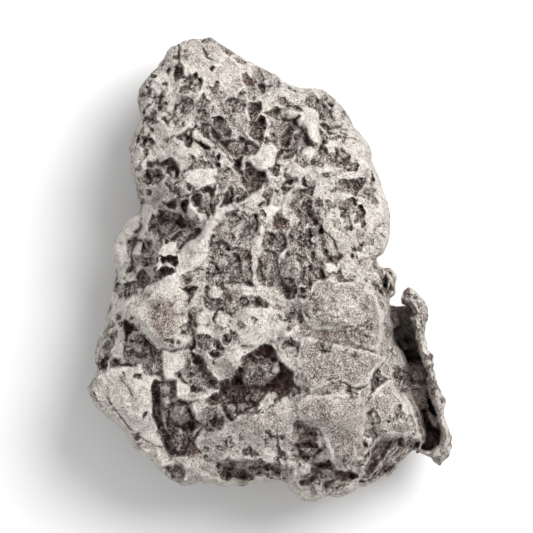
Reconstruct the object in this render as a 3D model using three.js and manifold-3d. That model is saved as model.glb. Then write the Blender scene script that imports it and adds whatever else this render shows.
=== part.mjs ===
// A pitted, crusted meteorite: one natural lump of iron with a bent fin on its right side.
// Millimetres, +Z up. The origin is under the middle of the stone's box, on the rest face.

import * as THREE from 'three';
import { mergeVertices } from 'three/addons/utils/BufferGeometryUtils.js';
import Module from 'manifold-3d';

// Driving dimensions
const LENGTH = 93.4; // along Y, the longest way across the stone
const HEIGHT = 46; // from the rest face to the highest shoulder
const WAIST_HEIGHT = 18; // where the flanks stand out furthest
const WAIST_WANDER = 4; // how far the waist goes up and down round the stone
const UNDERSIDE_DROP = 2.4; // how far the belly reaches below the rest face before it is cut flat
const FLANK_EXPONENT = 0.58; // below 1 makes the section boxier than an ellipse
const BELLY_EXPONENT = 0.74; // the same for the half below the waist

// The outlines are drawn on a grid, x to the right and y downwards, on which the stone is this long
const GRID_LENGTH = 467;
const GRID_CENTRE = [268, 269];
const STEP = LENGTH / GRID_LENGTH;

// The mesh of the plain lump before anything is cut or added
const FACETS = { across: 26, along: 20, up: 8 };
const RIM_LATITUDE = THREE.MathUtils.degToRad(40);

// How rough the plain lump is
const COARSE_LUMPS = { size: 7, height: 0.8 };
const FINE_LUMPS = { size: 2.8, height: 0.45 };
const FLANK_DENTS = { size: 11, above: 1.6, below: 5 }; // how far they go in, above and below the waist

const CRUST = { color: 0xd8cfc2, roughness: 0.85, metalness: 0.15 };

const wasm = await Module();
wasm.setup();

// The stone's outline seen from above, without the fin, clockwise from the tip of the head
const BODY_OUTLINE = [
  [180, 39], [190, 36], [210, 36.5], [217, 41], [236, 52], [256, 64], [275, 74], [292, 83],
  [312, 89], [328, 94], [345, 112], [361, 134], [371, 153], [380, 180], [388, 203], [390, 232],
  [384, 253], [377, 258], [383, 268], [396, 273], [396, 287], [390, 297], [390, 318], [394, 325],
  [393, 343], [403, 353], [410, 370], [410, 388], [417, 404], [423, 420], [427, 437], [422, 448],
  [414, 451.5], [398, 465], [391, 476], [367, 486.5], [352, 494], [341, 498.5], [329, 496.5],
  [312, 502.5], [300, 501], [291, 490], [276, 480.5], [257, 483], [243, 487.5], [232, 485],
  [223, 489], [200, 483], [182, 487], [164, 476.5], [153, 461], [134, 449.5], [124, 433],
  [105, 416.5], [87, 397], [85, 387], [95, 369], [96, 350], [105, 320], [113, 285], [116, 270],
  [113, 250], [121, 230], [139, 211], [138, 195], [128, 170], [128, 150], [139, 112], [137.5, 100],
  [145, 80], [162, 60], [167, 50],
];
const BODY_MIDDLE = [268, 280];

// Heights of the top face at spots on the grid: [x, y, height as a share of HEIGHT]
const TOP_HEIGHTS = [
  [185, 55, 0.74], [235, 85, 0.78], [300, 105, 0.78], [155, 115, 0.74], [200, 125, 0.83],
  [255, 130, 0.86], [330, 130, 0.8], [150, 170, 0.78], [190, 182, 0.89], [250, 180, 0.87],
  [305, 165, 0.89], [360, 170, 0.8], [370, 225, 0.8], [325, 215, 0.89], [265, 245, 0.9],
  [215, 235, 0.87], [170, 235, 0.78], [128, 245, 0.6], [128, 280, 0.64], [165, 280, 0.84],
  [215, 290, 0.86], [265, 300, 0.88], [310, 280, 0.95], [350, 305, 1], [380, 300, 0.85],
  [150, 320, 0.88], [110, 340, 0.7], [135, 350, 0.74], [195, 330, 0.83], [250, 335, 0.9],
  [310, 350, 0.97], [360, 355, 0.95], [395, 370, 0.76], [170, 370, 0.82], [105, 390, 0.74],
  [140, 400, 0.8], [205, 390, 0.83], [265, 410, 0.9], [330, 400, 0.97], [385, 410, 0.86],
  [135, 440, 0.7], [185, 450, 0.7], [230, 450, 0.82], [290, 450, 0.88], [350, 445, 0.88],
  [400, 450, 0.7], [225, 480, 0.66], [320, 485, 0.72], [370, 475, 0.7],
];
const TOP_BLEND = 22; // grid steps over which a height spot fades

// Pits in the top face: outline and depth in millimetres
const PITS = [
  { depth: 2.6, outline: [[178, 44], [181, 47], [180, 58], [177, 62], [173, 59], [178, 52]] },
  { depth: 3.6, outline: [[178, 62], [184, 69], [183, 76], [192, 76], [200, 78], [202, 85],
    [197, 93], [184, 95], [178, 90], [173.5, 76]] },
  { depth: 1.6, outline: [[203, 95], [210, 101], [210, 112], [203, 120], [195, 112], [197, 103]] },
  { depth: 1.5, outline: [[225, 98], [240, 91], [243, 106], [245, 115], [230, 119], [221, 108]] },
  { depth: 4.2, outline: [[204, 125], [212, 119], [223, 119], [227, 136], [230, 142], [224, 147],
    [214, 141], [205, 132]] },
  { depth: 3.2, outline: [[250, 104], [261, 105], [258, 119], [266, 121], [264, 134], [258, 141],
    [251, 136], [250, 118]] },
  { depth: 3.2, outline: [[272, 118], [296, 121], [299, 132], [300, 140], [288, 156], [278, 159],
    [280, 143], [270, 133]] },
  { depth: 2.2, outline: [[306, 98], [317, 97], [319, 109], [311, 109], [305, 103]] },
  { depth: 2.6, outline: [[318, 125], [326, 124], [330, 134], [325, 145], [321, 140]] },
  { depth: 3.2, outline: [[321, 148], [326, 151], [336, 153], [342, 157], [350, 158], [345, 166],
    [335, 168], [325, 158]] },
  { depth: 3, outline: [[337, 179], [351, 179], [363, 184], [356, 191], [344, 187]] },
  { depth: 2.6, outline: [[356, 207], [364, 209], [366, 226], [356, 226]] },
  { depth: 2.2, outline: [[166, 88], [166, 94], [162, 104], [161, 113], [157, 110], [160, 96]] },
  { depth: 2, outline: [[142, 151], [148, 152], [144, 161], [140, 163]] },
  { depth: 3, outline: [[146, 171], [158, 169], [165, 176], [156, 185], [146, 184]] },
  { depth: 3.6, outline: [[164, 163], [172, 159], [180, 168], [178, 180], [169, 175]] },
  { depth: 4.2, outline: [[165, 204], [177, 200], [178, 209], [169, 209]] },
  { depth: 4.4, outline: [[180, 204], [190, 198], [200, 192], [200, 206], [191, 208], [187, 214]] },
  { depth: 4, outline: [[201, 193], [217, 184], [214, 199], [214, 212], [207, 218], [203, 206]] },
  { depth: 3, outline: [[175, 141], [183, 133], [193, 132], [196, 141], [187, 147]] },
  { depth: 3, outline: [[197, 142], [208, 144], [219, 150], [220, 160], [208, 156]] },
  { depth: 2.4, outline: [[193, 158], [205, 161], [217, 163], [204, 169], [193, 166]] },
  { depth: 5.2, outline: [[244, 162], [258, 171], [266, 171], [264, 184], [252, 195], [239, 181]] },
  { depth: 2.8, outline: [[226, 213], [235, 206], [238, 212], [233, 218]] },
  { depth: 3, outline: [[279, 184], [290, 180], [298, 179], [289, 193], [281, 194]] },
  { depth: 4, outline: [[296, 195], [309, 190], [311, 204], [316, 222], [309, 227], [300, 216],
    [292, 205]] },
  { depth: 2, outline: [[275, 163], [285, 165], [281, 175], [273, 173]] },
  { depth: 2.6, outline: [[309, 251], [317, 268], [326, 257], [337, 264], [323, 277], [312, 279]] },
  { depth: 2, outline: [[282, 262], [293, 262], [303, 271], [296, 281], [284, 271]] },
  { depth: 2.6, outline: [[210, 238], [219, 238], [234, 250], [229, 265], [221, 272], [209, 258]] },
  { depth: 4.2, outline: [[159, 219], [172, 212], [191, 221], [194, 231], [178, 229], [167, 236],
    [160, 231]] },
  { depth: 2.2, outline: [[161, 256], [177, 256], [178, 265], [168, 267]] },
  { depth: 3.2, outline: [[152, 281], [159, 268], [172, 269], [163, 276]] },
  { depth: 2.6, outline: [[124, 321], [140, 329], [132, 332], [126, 343]] },
  { depth: 2.6, outline: [[129, 354], [139, 351], [142, 361], [132, 363]] },
  { depth: 2.8, outline: [[189, 310], [197, 308], [193, 322], [196, 336], [192, 349], [187, 330]] },
  { depth: 3, outline: [[190, 351], [201, 356], [208, 368], [192, 372], [187, 362]] },
  { depth: 2.2, outline: [[284, 287], [298, 287], [306, 296], [291, 300]] },
  { depth: 6.5, outline: [[154, 381], [176, 381], [175, 398], [168, 410], [173, 428], [180, 452],
    [168, 456], [159, 430], [152, 406]] },
  { depth: 4.6, outline: [[174, 404], [190, 403], [193, 416], [199, 423], [191, 432], [180, 422]] },
  { depth: 3.4, outline: [[184, 436], [190, 436], [203, 451], [190, 456], [181, 450]] },
  { depth: 2.2, outline: [[212, 420], [224, 417], [224, 427], [214, 427]] },
  { depth: 9, outline: [[256, 348], [270, 346], [280, 362], [293, 371], [292, 386], [280, 398],
    [264, 397], [252, 409], [233, 419], [224, 405], [208, 401], [222, 391], [224, 382],
    [240, 372], [243, 357]] },
  { depth: 2, outline: [[281, 345], [291, 338], [300, 342], [292, 347]] },
  { depth: 2.4, outline: [[388, 358], [381, 367], [388, 380], [376, 388], [369, 398], [370, 378]] },
  { depth: 3.4, outline: [[279, 451], [287, 452], [285, 461], [280, 460]] },
  { depth: 3, outline: [[304, 429], [316, 433], [316, 446], [300, 444], [295, 441]] },
  { depth: 5, outline: [[216, 463], [242, 460], [257, 466], [254, 478], [233, 480], [218, 475]] },
  { depth: 4, outline: [[318, 462], [331, 463], [342, 471], [356, 476], [346, 486], [330, 486],
    [321, 474]] },
  { depth: 3.4, outline: [[299, 480], [316, 475], [317, 484], [302, 487]] },
  { depth: 5.4, outline: [[375, 444], [392, 439], [420, 441], [411, 452], [396, 463], [388, 477],
    [368, 481], [364, 468]] },
];

// Plates, shoulders and boulders that stand proud: outline and height above the face around them
const PLATES = [
  { rise: 2, outline: [[128, 300], [151, 285], [174, 272], [181, 281], [188, 303], [180, 314],
    [173, 340], [160, 348], [138, 327], [122, 318]] },
  { rise: 1.6, outline: [[95, 373], [132, 366], [141, 368], [153, 379], [151, 405], [160, 437],
    [166, 458], [150, 455], [125, 428], [92, 396]] },
  { rise: 1.5, outline: [[160, 167], [190, 165], [217, 170], [217, 183], [190, 194], [170, 200],
    [160, 198]] },
  { rise: 2, outline: [[226, 122], [241, 118], [248, 129], [240, 137], [229, 137]] },
  { rise: 1.6, outline: [[229, 144], [243, 142], [247, 150], [233, 160], [226, 152]] },
  { rise: 1.3, outline: [[247, 145], [256, 146], [257, 152], [246, 153]] },
  { rise: 1.6, outline: [[216, 176], [229, 170], [238, 179], [230, 187], [218, 181]] },
  { rise: 1.3, outline: [[301, 108], [314, 111], [319, 126], [304, 129], [299, 116]] },
  { rise: 1.6, outline: [[310, 287], [328, 279], [365, 286], [383, 315], [380, 350], [345, 345],
    [341, 330], [310, 326]] },
  { rise: 1.4, outline: [[343, 352], [372, 346], [386, 357], [370, 376], [352, 384], [336, 375]] },
  { rise: 1.6, outline: [[372, 393], [392, 382], [410, 412], [412, 433], [396, 437], [374, 432]] },
  { rise: 1.4, outline: [[330, 440], [360, 437], [367, 450], [349, 468], [333, 460]] },
  { rise: 1.4, outline: [[241, 314], [266, 307], [300, 312], [300, 332], [270, 342], [242, 340]] },
  { rise: 2, outline: [[222, 350], [240, 347], [240, 371], [222, 380], [207, 366]] },
  { rise: 1.5, outline: [[208, 288], [218, 285], [221, 295], [210, 297]] },
  { rise: 1.4, outline: [[164, 352], [188, 356], [186, 369], [172, 381], [162, 370]] },
  { rise: 1.5, outline: [[191, 380], [203, 379], [202, 389], [192, 391]] },
  { rise: 1.6, outline: [[190, 207], [199, 211], [204, 217], [194, 222], [188, 214]] },
  { rise: 1.2, outline: [[176, 250], [203, 231], [209, 240], [204, 262], [181, 271]] },
  { rise: 1.2, outline: [[282, 111], [293, 111], [293, 118], [282, 118]] },
];

// Stones lodged in the deep pits: outline and the height their tops reach
const LODGED_STONES = [
  { top: 36.5, outline: [[245, 368], [258, 361], [278, 362], [279, 374], [264, 385], [247, 382]] },
  { top: 33.5, outline: [[156, 384], [168, 382], [168, 396], [157, 397]] },
  { top: 34, outline: [[232, 388], [242, 386], [242, 396], [232, 395]] },
];

// The fin, the shelf it stands on and the slot that parts it from the stone
const FIN_OUTLINE = [
  [408, 286], [420, 297], [429, 311], [427, 325], [426, 348], [432, 355], [436, 375], [441, 393],
  [446, 401], [443, 416], [450, 430], [451, 448], [441, 467], [432, 459], [420, 454], [424, 448],
  [441, 446], [440, 433], [432, 405], [428, 385], [429, 376], [421, 353], [413, 327], [411, 308],
  [402, 305], [402, 296],
];
const FIN_TOP = 31; // at the middle of its length
const FIN_DROP = 7; // how much lower its two ends are
const FIN_MIDDLE = [430, 365];
const FIN_HALF_LENGTH = 17;
const FIN_FOOT = 12;
const SHELF_OUTLINE = [
  [378, 300], [400, 302], [424, 308], [424, 345], [434, 376], [442, 412], [448, 440], [438, 461],
  [418, 452], [380, 440],
];
const SHELF_TOP = 16;
const SHELF_FOOT = 5;
const SLOT_BLOCKS = [
  { top: 24, outline: [[409, 367], [421, 365], [425, 378], [429, 407], [419, 405], [410, 388]] },
  { top: 25, outline: [[425, 411], [432, 411], [440, 424], [437, 430], [428, 419]] },
];
const NUB_PIT = { depth: 2, outline: [[380, 271], [385, 270], [387, 279], [384, 286], [381, 280]] };

// Thumbprint hollows in the underside: [x, y, radius, depth]
const HOLLOWS = [
  [190, 130, 15, 2.4], [290, 165, 17, 2.4], [345, 255, 15, 2], [165, 255, 14, 2], [150, 375, 15, 2.2],
  [225, 445, 16, 2.2], [325, 440, 17, 2.4], [230, 215, 14, 0.9], [320, 335, 14, 0.9], [215, 340, 12, 0.8],
];
const HOLLOW_SIDES = { round: 12, high: 8 };
const HOLLOW_FLATNESS = 0.8; // height over width of the round body that scoops a hollow

function plan([x, y]) {
  return new THREE.Vector2((x - GRID_CENTRE[0]) * STEP, (GRID_CENTRE[1] - y) * STEP);
}

// A repeatable number from 0 to 1 for each corner of a cubic lattice
function cornerValue(i, j, k) {
  const wave = Math.sin(i * 127.1 + j * 311.7 + k * 74.7) * 43758.5453;
  return wave - Math.floor(wave);
}

// Smooth lumps of one size, from -1 to 1
function lumps(point, size) {
  const p = point.clone().divideScalar(size);
  const cell = p.clone().floor();
  const ease = (t) => t * t * (3 - 2 * t);
  const fx = ease(p.x - cell.x);
  const fy = ease(p.y - cell.y);
  const fz = ease(p.z - cell.z);
  const mix = THREE.MathUtils.lerp;
  const edge = (j, k) => mix(
    cornerValue(cell.x, cell.y + j, cell.z + k),
    cornerValue(cell.x + 1, cell.y + j, cell.z + k),
    fx,
  );
  return 2 * mix(mix(edge(0, 0), edge(1, 0), fy), mix(edge(0, 1), edge(1, 1), fy), fz) - 1;
}

const middle = plan(BODY_MIDDLE);
const bodyOutline = BODY_OUTLINE.map(plan);

// How far the outline lies from the stone's middle in one direction
function reach(angle) {
  const way = new THREE.Vector2(Math.cos(angle), Math.sin(angle));
  let furthest = 0;
  bodyOutline.forEach((corner, i) => {
    const next = bodyOutline[(i + 1) % bodyOutline.length];
    const side = next.clone().sub(corner);
    const from = corner.clone().sub(middle);
    const turn = way.cross(side);
    if (turn === 0) return;
    const distance = from.cross(side) / turn;
    const along = from.cross(way) / turn;
    if (along >= 0 && along <= 1) furthest = Math.max(furthest, distance);
  });
  return furthest;
}

// The height that the top face would have if it ran level to its edge
function crestHeight(x, y) {
  let sum = 0;
  let weights = 0;
  for (const [gridX, gridY, share] of TOP_HEIGHTS) {
    const spot = plan([gridX, gridY]);
    const away = Math.hypot(x - spot.x, y - spot.y) / (TOP_BLEND * STEP);
    const weight = Math.exp(-away * away) + 1e-6;
    sum += weight * share * HEIGHT;
    weights += weight;
  }
  return sum / weights;
}

function waistHeight(angle) {
  const round = new THREE.Vector3(2 * Math.cos(angle), 2 * Math.sin(angle), 0);
  return WAIST_HEIGHT + WAIST_WANDER * lumps(round, 1);
}

// The height of the top face over a point, down to the waist at the outline
function faceHeight(x, y) {
  const out = Math.hypot(x - middle.x, y - middle.y);
  const angle = Math.atan2(y - middle.y, x - middle.x);
  const share = Math.min(1, out / reach(angle));
  const latitude = Math.acos(share ** (1 / FLANK_EXPONENT));
  const waist = waistHeight(angle);
  return waist + (crestHeight(x, y) - waist) * Math.sin(latitude) ** FLANK_EXPONENT;
}

// A box corner's direction round the stone, spread evenly along each side
function turnAround(u, v) {
  if (u === 0 && v === 0) return 0;
  if (Math.abs(u) >= Math.abs(v)) return (Math.PI / 4) * (v / u) + (u < 0 ? Math.PI : 0);
  return Math.PI / 2 - (Math.PI / 4) * (u / v) + (v < 0 ? Math.PI : 0);
}

function plainLump() {
  const lump = new THREE.BoxGeometry(2, 2, 2, FACETS.across, FACETS.along, FACETS.up);
  const spots = lump.attributes.position;
  const corner = new THREE.Vector3();
  for (let i = 0; i < spots.count; i += 1) {
    corner.fromBufferAttribute(spots, i);
    const ring = Math.max(Math.abs(corner.x), Math.abs(corner.y));
    const angle = turnAround(corner.x, corner.y);
    const onCap = Math.abs(corner.z) > 0.9999;
    const latitude = onCap
      ? Math.sign(corner.z) * (Math.PI / 2 - ring * (Math.PI / 2 - RIM_LATITUDE))
      : corner.z * RIM_LATITUDE;
    const above = latitude >= 0;
    const exponent = above ? FLANK_EXPONENT : BELLY_EXPONENT;
    const rise = Math.abs(Math.sin(latitude)) ** exponent;
    const waist = waistHeight(angle);
    const spread = reach(angle) * Math.max(0, Math.cos(latitude)) ** exponent;
    const way = new THREE.Vector3(Math.cos(angle), Math.sin(angle), rise * Math.sign(latitude));
    const dent = (above ? FLANK_DENTS.above : FLANK_DENTS.below)
      * Math.sin(2 * latitude) ** 2
      * (0.5 + 0.5 * lumps(way.multiplyScalar(reach(angle)), FLANK_DENTS.size));
    const out = Math.max(0, spread - dent);
    const x = middle.x + out * Math.cos(angle);
    const y = middle.y + out * Math.sin(angle);
    const z = above
      ? waist + (crestHeight(x, y) - waist) * rise
      : waist - (waist + UNDERSIDE_DROP) * rise;
    const place = new THREE.Vector3(x, y, z);
    const rough = COARSE_LUMPS.height * lumps(place, COARSE_LUMPS.size)
      + FINE_LUMPS.height * lumps(place, FINE_LUMPS.size);
    spots.setXYZ(i, x, y, z + rough * Math.sqrt(rise));
  }
  return lump;
}

function solid(geometry) {
  const bare = geometry.clone();
  bare.deleteAttribute('normal');
  bare.deleteAttribute('uv');
  const merged = mergeVertices(bare);
  return new wasm.Manifold(new wasm.Mesh({
    numProp: 3,
    vertProperties: new Float32Array(merged.attributes.position.array),
    triVerts: new Uint32Array(merged.index.array),
  }));
}

// A block in layers over an outline. Each layer has a scale about the outline's middle and a
// height, given as a function of the point.
function layered(outline, layers) {
  const corners = outline.map(plan);
  const centre = corners.reduce((sum, corner) => sum.add(corner), new THREE.Vector2());
  centre.divideScalar(corners.length);
  const block = new THREE.ExtrudeGeometry(new THREE.Shape(corners), {
    depth: 1, steps: layers.length - 1, bevelEnabled: false,
  });
  const spots = block.attributes.position;
  for (let i = 0; i < spots.count; i += 1) {
    const layer = layers[Math.round(spots.getZ(i) * (layers.length - 1))];
    const x = centre.x + (spots.getX(i) - centre.x) * layer.scale;
    const y = centre.y + (spots.getY(i) - centre.y) * layer.scale;
    spots.setXYZ(i, x, y, layer.height(x, y));
  }
  return solid(block);
}

const PIT_FLARE = { floor: 0.72, mouth: 1, above: 1.12 };
const FLOOR_ROUGHNESS = 0.25; // the share of its depth by which a pit's floor goes up and down
const CLEARANCE_ABOVE = 7; // how far a cutter stands above the face it cuts

function pit({ outline, depth }) {
  const floor = (x, y) => {
    const uneven = FLOOR_ROUGHNESS * depth * lumps(new THREE.Vector3(x, y, depth), FINE_LUMPS.size);
    return faceHeight(x, y) - depth + uneven;
  };
  return layered(outline, [
    { scale: PIT_FLARE.floor, height: floor },
    { scale: PIT_FLARE.mouth, height: (x, y) => faceHeight(x, y) },
    { scale: PIT_FLARE.above, height: (x, y) => faceHeight(x, y) + CLEARANCE_ABOVE },
  ]);
}

const PLATE_ROOT = 2.5; // how deep a plate is let into the face

function plate({ outline, rise }) {
  return layered(outline, [
    { scale: 1.04, height: (x, y) => faceHeight(x, y) - PLATE_ROOT },
    { scale: 1, height: (x, y) => faceHeight(x, y) + rise * 0.55 },
    { scale: 0.84, height: (x, y) => faceHeight(x, y) + rise },
  ]);
}

const STONE_ROOT = 26; // lodged stones start this far up, inside the lump

function lodgedStone({ outline, top }) {
  const crown = (x, y) => top + 0.6 * lumps(new THREE.Vector3(x, y, top), FINE_LUMPS.size);
  return layered(outline, [
    { scale: 1.05, height: () => STONE_ROOT },
    { scale: 1, height: (x, y) => crown(x, y) - 1.6 },
    { scale: 0.72, height: crown },
  ]);
}

const FIN_RAGGEDNESS = 1.6;

function fin() {
  const halfway = plan(FIN_MIDDLE);
  const crest = (x, y) => {
    const along = (y - halfway.y) / FIN_HALF_LENGTH;
    const ragged = FIN_RAGGEDNESS * lumps(new THREE.Vector3(x, y, FIN_TOP), 2 * FINE_LUMPS.size);
    return FIN_TOP - FIN_DROP * along * along + ragged;
  };
  return layered(FIN_OUTLINE, [
    { scale: 0.93, height: () => FIN_FOOT },
    { scale: 1, height: () => SHELF_TOP + 3 },
    { scale: 1, height: crest },
  ]);
}

function shelf() {
  return layered(SHELF_OUTLINE, [
    { scale: 0.62, height: () => SHELF_FOOT },
    { scale: 0.9, height: () => (SHELF_FOOT + SHELF_TOP) / 2 },
    { scale: 1, height: () => SHELF_TOP },
  ]);
}

function slotBlock({ outline, top }) {
  return layered(outline, [
    { scale: 1.1, height: () => SHELF_TOP - 3 },
    { scale: 1, height: () => top - 2 },
    { scale: 0.7, height: (x, y) => top + lumps(new THREE.Vector3(x, y, top), FINE_LUMPS.size) },
  ]);
}

// The height of the underside over a point
function bellyHeight(x, y) {
  const angle = Math.atan2(y - middle.y, x - middle.x);
  const share = Math.min(1, Math.hypot(x - middle.x, y - middle.y) / reach(angle));
  const latitude = Math.acos(share ** (1 / BELLY_EXPONENT));
  const waist = waistHeight(angle);
  return Math.max(0, waist - (waist + UNDERSIDE_DROP) * Math.sin(latitude) ** BELLY_EXPONENT);
}

function hollow([gridX, gridY, radius, depth]) {
  const scoop = new THREE.SphereGeometry(radius, HOLLOW_SIDES.round, HOLLOW_SIDES.high);
  scoop.scale(1, 1, HOLLOW_FLATNESS);
  const at = plan([gridX, gridY]);
  scoop.translate(at.x, at.y, bellyHeight(at.x, at.y) + depth - radius * HOLLOW_FLATNESS);
  return solid(scoop);
}

// Everything below the rest face is cut away, which leaves the flat patch that the stone lies on
function belowRestFace() {
  const slab = new THREE.BoxGeometry(2 * LENGTH, 2 * LENGTH, LENGTH);
  slab.translate(0, 0, -LENGTH / 2);
  return solid(slab);
}

// The cuts can leave loose crumbs, which the stone wouldn't keep
function largestBody(shape) {
  const bodies = shape.decompose();
  return bodies.reduce((best, body) => (body.volume() > best.volume() ? body : best));
}

function meteoriteSolid() {
  let stone = solid(plainLump());
  for (const piece of PLATES) stone = stone.add(plate(piece));
  for (const piece of PITS) stone = stone.subtract(pit(piece));
  stone = stone.subtract(pit(NUB_PIT));
  for (const piece of LODGED_STONES) stone = stone.add(lodgedStone(piece));
  stone = stone.add(shelf()).add(fin());
  for (const piece of SLOT_BLOCKS) stone = stone.add(slotBlock(piece));
  for (const piece of HOLLOWS) stone = stone.subtract(hollow(piece));
  stone = stone.subtract(belowRestFace());
  return largestBody(stone);
}

function meshGeometry(shape) {
  const mesh = shape.getMesh();
  const geometry = new THREE.BufferGeometry();
  geometry.setAttribute('position', new THREE.BufferAttribute(new Float32Array(mesh.vertProperties), 3));
  geometry.setIndex(new THREE.BufferAttribute(new Uint32Array(mesh.triVerts), 1));
  return geometry;
}

const group = new THREE.Group();
const meteorite = new THREE.Mesh(
  meshGeometry(meteoriteSolid()),
  new THREE.MeshStandardMaterial(CRUST),
);
meteorite.name = 'meteorite';
group.add(meteorite);

export default group;
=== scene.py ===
# %% [markdown]
# # A pitted iron meteorite
#
# The real thing is one palm-size lump of weathered iron. A pale, chalky crust covers its shoulders,
# and where the crust has broken away the stone is dark brown, platy and full of deep pits. A thin
# bent fin stands along one side, parted from the lump by a dark slot.
#
# The plain solid of the stone is loaded as a fixed frame, in metres, and one detailed mesh is laid
# over it. Everything below makes that mesh, its finish, and the studio that it is seen in.

import bpy
import numpy as np
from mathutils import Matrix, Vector


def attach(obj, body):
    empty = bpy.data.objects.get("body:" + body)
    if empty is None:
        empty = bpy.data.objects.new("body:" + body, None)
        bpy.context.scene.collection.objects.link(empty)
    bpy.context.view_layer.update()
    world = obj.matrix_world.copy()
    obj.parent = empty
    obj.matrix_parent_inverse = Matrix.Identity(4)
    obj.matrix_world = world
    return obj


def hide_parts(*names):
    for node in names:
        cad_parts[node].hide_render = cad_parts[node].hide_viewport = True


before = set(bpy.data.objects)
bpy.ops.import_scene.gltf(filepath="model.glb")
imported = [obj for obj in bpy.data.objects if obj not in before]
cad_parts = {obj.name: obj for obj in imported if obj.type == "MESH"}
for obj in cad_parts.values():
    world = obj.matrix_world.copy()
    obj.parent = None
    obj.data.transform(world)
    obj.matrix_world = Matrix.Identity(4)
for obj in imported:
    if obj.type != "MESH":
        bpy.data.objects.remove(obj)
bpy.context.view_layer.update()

# %% [markdown]
# ## A map of the face
#
# Nearly everything on this stone can be seen from straight above, so its face is drawn as a map:
# one layer for the height of each spot and others for how pale, how broken and how rusty it is. The
# outlines are points on a drawing grid, x to the right and y downwards, and one step of the grid
# is a fifth of a millimetre. A map in numpy is chosen over sculpting by hand, because each pit can
# then be put in its place by name, and its edge roughened in the same stroke.

# %% The drawing grid and the map's cells
STONE_LENGTH = 93.4  # mm, along Y
GRID_LENGTH = 467  # the same length on the drawing
STEP = STONE_LENGTH / GRID_LENGTH  # mm
GRID_CENTRE = np.array([268.0, 269.0])  # this spot of the drawing is the origin
MAP_LEFT, MAP_RIGHT, MAP_TOP, MAP_BOTTOM = 78, 458, 30, 510
CELLS_PER_STEP = 2

columns = np.arange(MAP_LEFT, MAP_RIGHT, 1 / CELLS_PER_STEP)
rows = np.arange(MAP_TOP, MAP_BOTTOM, 1 / CELLS_PER_STEP)
grid_x, grid_y = np.meshgrid(columns, rows)
print("the map has", grid_x.shape, "cells of", STEP / CELLS_PER_STEP, "mm")


# %% Soft steps and seeded noise
def ease(t):
    """From 0 to 1 with soft ends."""
    t = np.clip(t, 0, 1)
    return t * t * (3 - 2 * t)


def mix(a, b, t):
    return a + (b - a) * t


NOISE_TABLE = 256


def lumps(x, y, size, seed):
    """Smooth random lumps of one size, from -1 to 1."""
    table = np.random.default_rng(seed).uniform(-1, 1, (NOISE_TABLE, NOISE_TABLE))
    u, v = x / size, y / size
    i, j = np.floor(u).astype(int), np.floor(v).astype(int)
    across, down = ease(u - i), ease(v - j)

    def corner(di, dj):
        return table[(j + dj) % NOISE_TABLE, (i + di) % NOISE_TABLE]

    upper = mix(corner(0, 0), corner(1, 0), across)
    lower = mix(corner(0, 1), corner(1, 1), across)
    return mix(upper, lower, down)


def flakes(x, y, size, seed):
    """Cells like broken flakes: a value for each, the distance to its border, and its slant."""
    rng = np.random.default_rng(seed)
    shift_x, shift_y, value, lean_x, lean_y = rng.uniform(0, 1, (5, NOISE_TABLE, NOISE_TABLE))
    u, v = x / size, y / size
    i, j = np.floor(u).astype(int), np.floor(v).astype(int)
    nearest = np.full(x.shape, 9.0)
    second = np.full(x.shape, 9.0)
    chosen = np.zeros(x.shape)
    slant = np.zeros(x.shape)
    for di in (-1, 0, 1):
        for dj in (-1, 0, 1):
            a, b = (j + dj) % NOISE_TABLE, (i + di) % NOISE_TABLE
            du = u - i - di - shift_x[a, b]
            dv = v - j - dj - shift_y[a, b]
            away = np.hypot(du, dv)
            closer = away < nearest
            second = np.where(closer, nearest, np.minimum(second, away))
            chosen = np.where(closer, value[a, b], chosen)
            leaning = (2 * lean_x[a, b] - 1) * du + (2 * lean_y[a, b] - 1) * dv
            slant = np.where(closer, leaning * size, slant)
            nearest = np.where(closer, away, nearest)
    return chosen, (second - nearest) * size, slant


def blurred(layer, width):
    """The layer smoothed over a width in steps."""
    reach = int(3 * width * CELLS_PER_STEP)
    taps = np.arange(-reach, reach + 1)
    weights = np.exp(-0.5 * (taps / (width * CELLS_PER_STEP)) ** 2)
    weights /= weights.sum()
    for axis in (0, 1):
        padding = [(reach, reach) if a == axis else (0, 0) for a in (0, 1)]
        padded = np.pad(layer, padding, mode="edge")
        length = layer.shape[axis]
        layer = sum(
            w * np.take(padded, np.arange(k, k + length), axis) for k, w in enumerate(weights)
        )
    return layer


# %% Rough edges
# Every outline is looked up through this small, steady wobble, so no edge on the stone is straight.
# The smooth part bends an edge, and the flaky part breaks it into short, sharp pieces
EDGE_WOBBLES = [(10, 0.7), (4.5, 0.5)]  # size and reach, in steps
EDGE_FLAKES = [(4.5, 0.6), (2.6, 0.5)]

wobbled_x = grid_x.copy()
wobbled_y = grid_y.copy()
for number, (size, reach) in enumerate(EDGE_WOBBLES):
    wobbled_x += reach * lumps(grid_x, grid_y, size, 11 + number)
    wobbled_y += reach * lumps(grid_x, grid_y, size, 21 + number)
for number, (size, reach) in enumerate(EDGE_FLAKES):
    wobbled_x += reach * (2 * flakes(grid_x, grid_y, size, 31 + number)[0] - 1)
    wobbled_y += reach * (2 * flakes(grid_x, grid_y, size, 41 + number)[0] - 1)


# %% Distances to an outline and to a line
def points_of(text):
    """The points of an outline, which is written as x,y x,y and so on."""
    return np.array([[float(n) for n in pair.split(",")] for pair in text.split()])


def window_round(points, margin):
    low = (np.min(points, axis=0) - margin - (MAP_LEFT, MAP_TOP)) * CELLS_PER_STEP
    high = (np.max(points, axis=0) + margin - (MAP_LEFT, MAP_TOP)) * CELLS_PER_STEP
    left, top = np.maximum(low, 0).astype(int)
    right, bottom = np.maximum(high, 0).astype(int)
    return np.s_[top:bottom, left:right]


def away_from_side(x, y, start, end):
    side = np.subtract(end, start)
    length = max(float(side @ side), 1e-9)
    along = np.clip(((x - start[0]) * side[0] + (y - start[1]) * side[1]) / length, 0, 1)
    return np.hypot(x - start[0] - along * side[0], y - start[1] - along * side[1])


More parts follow.
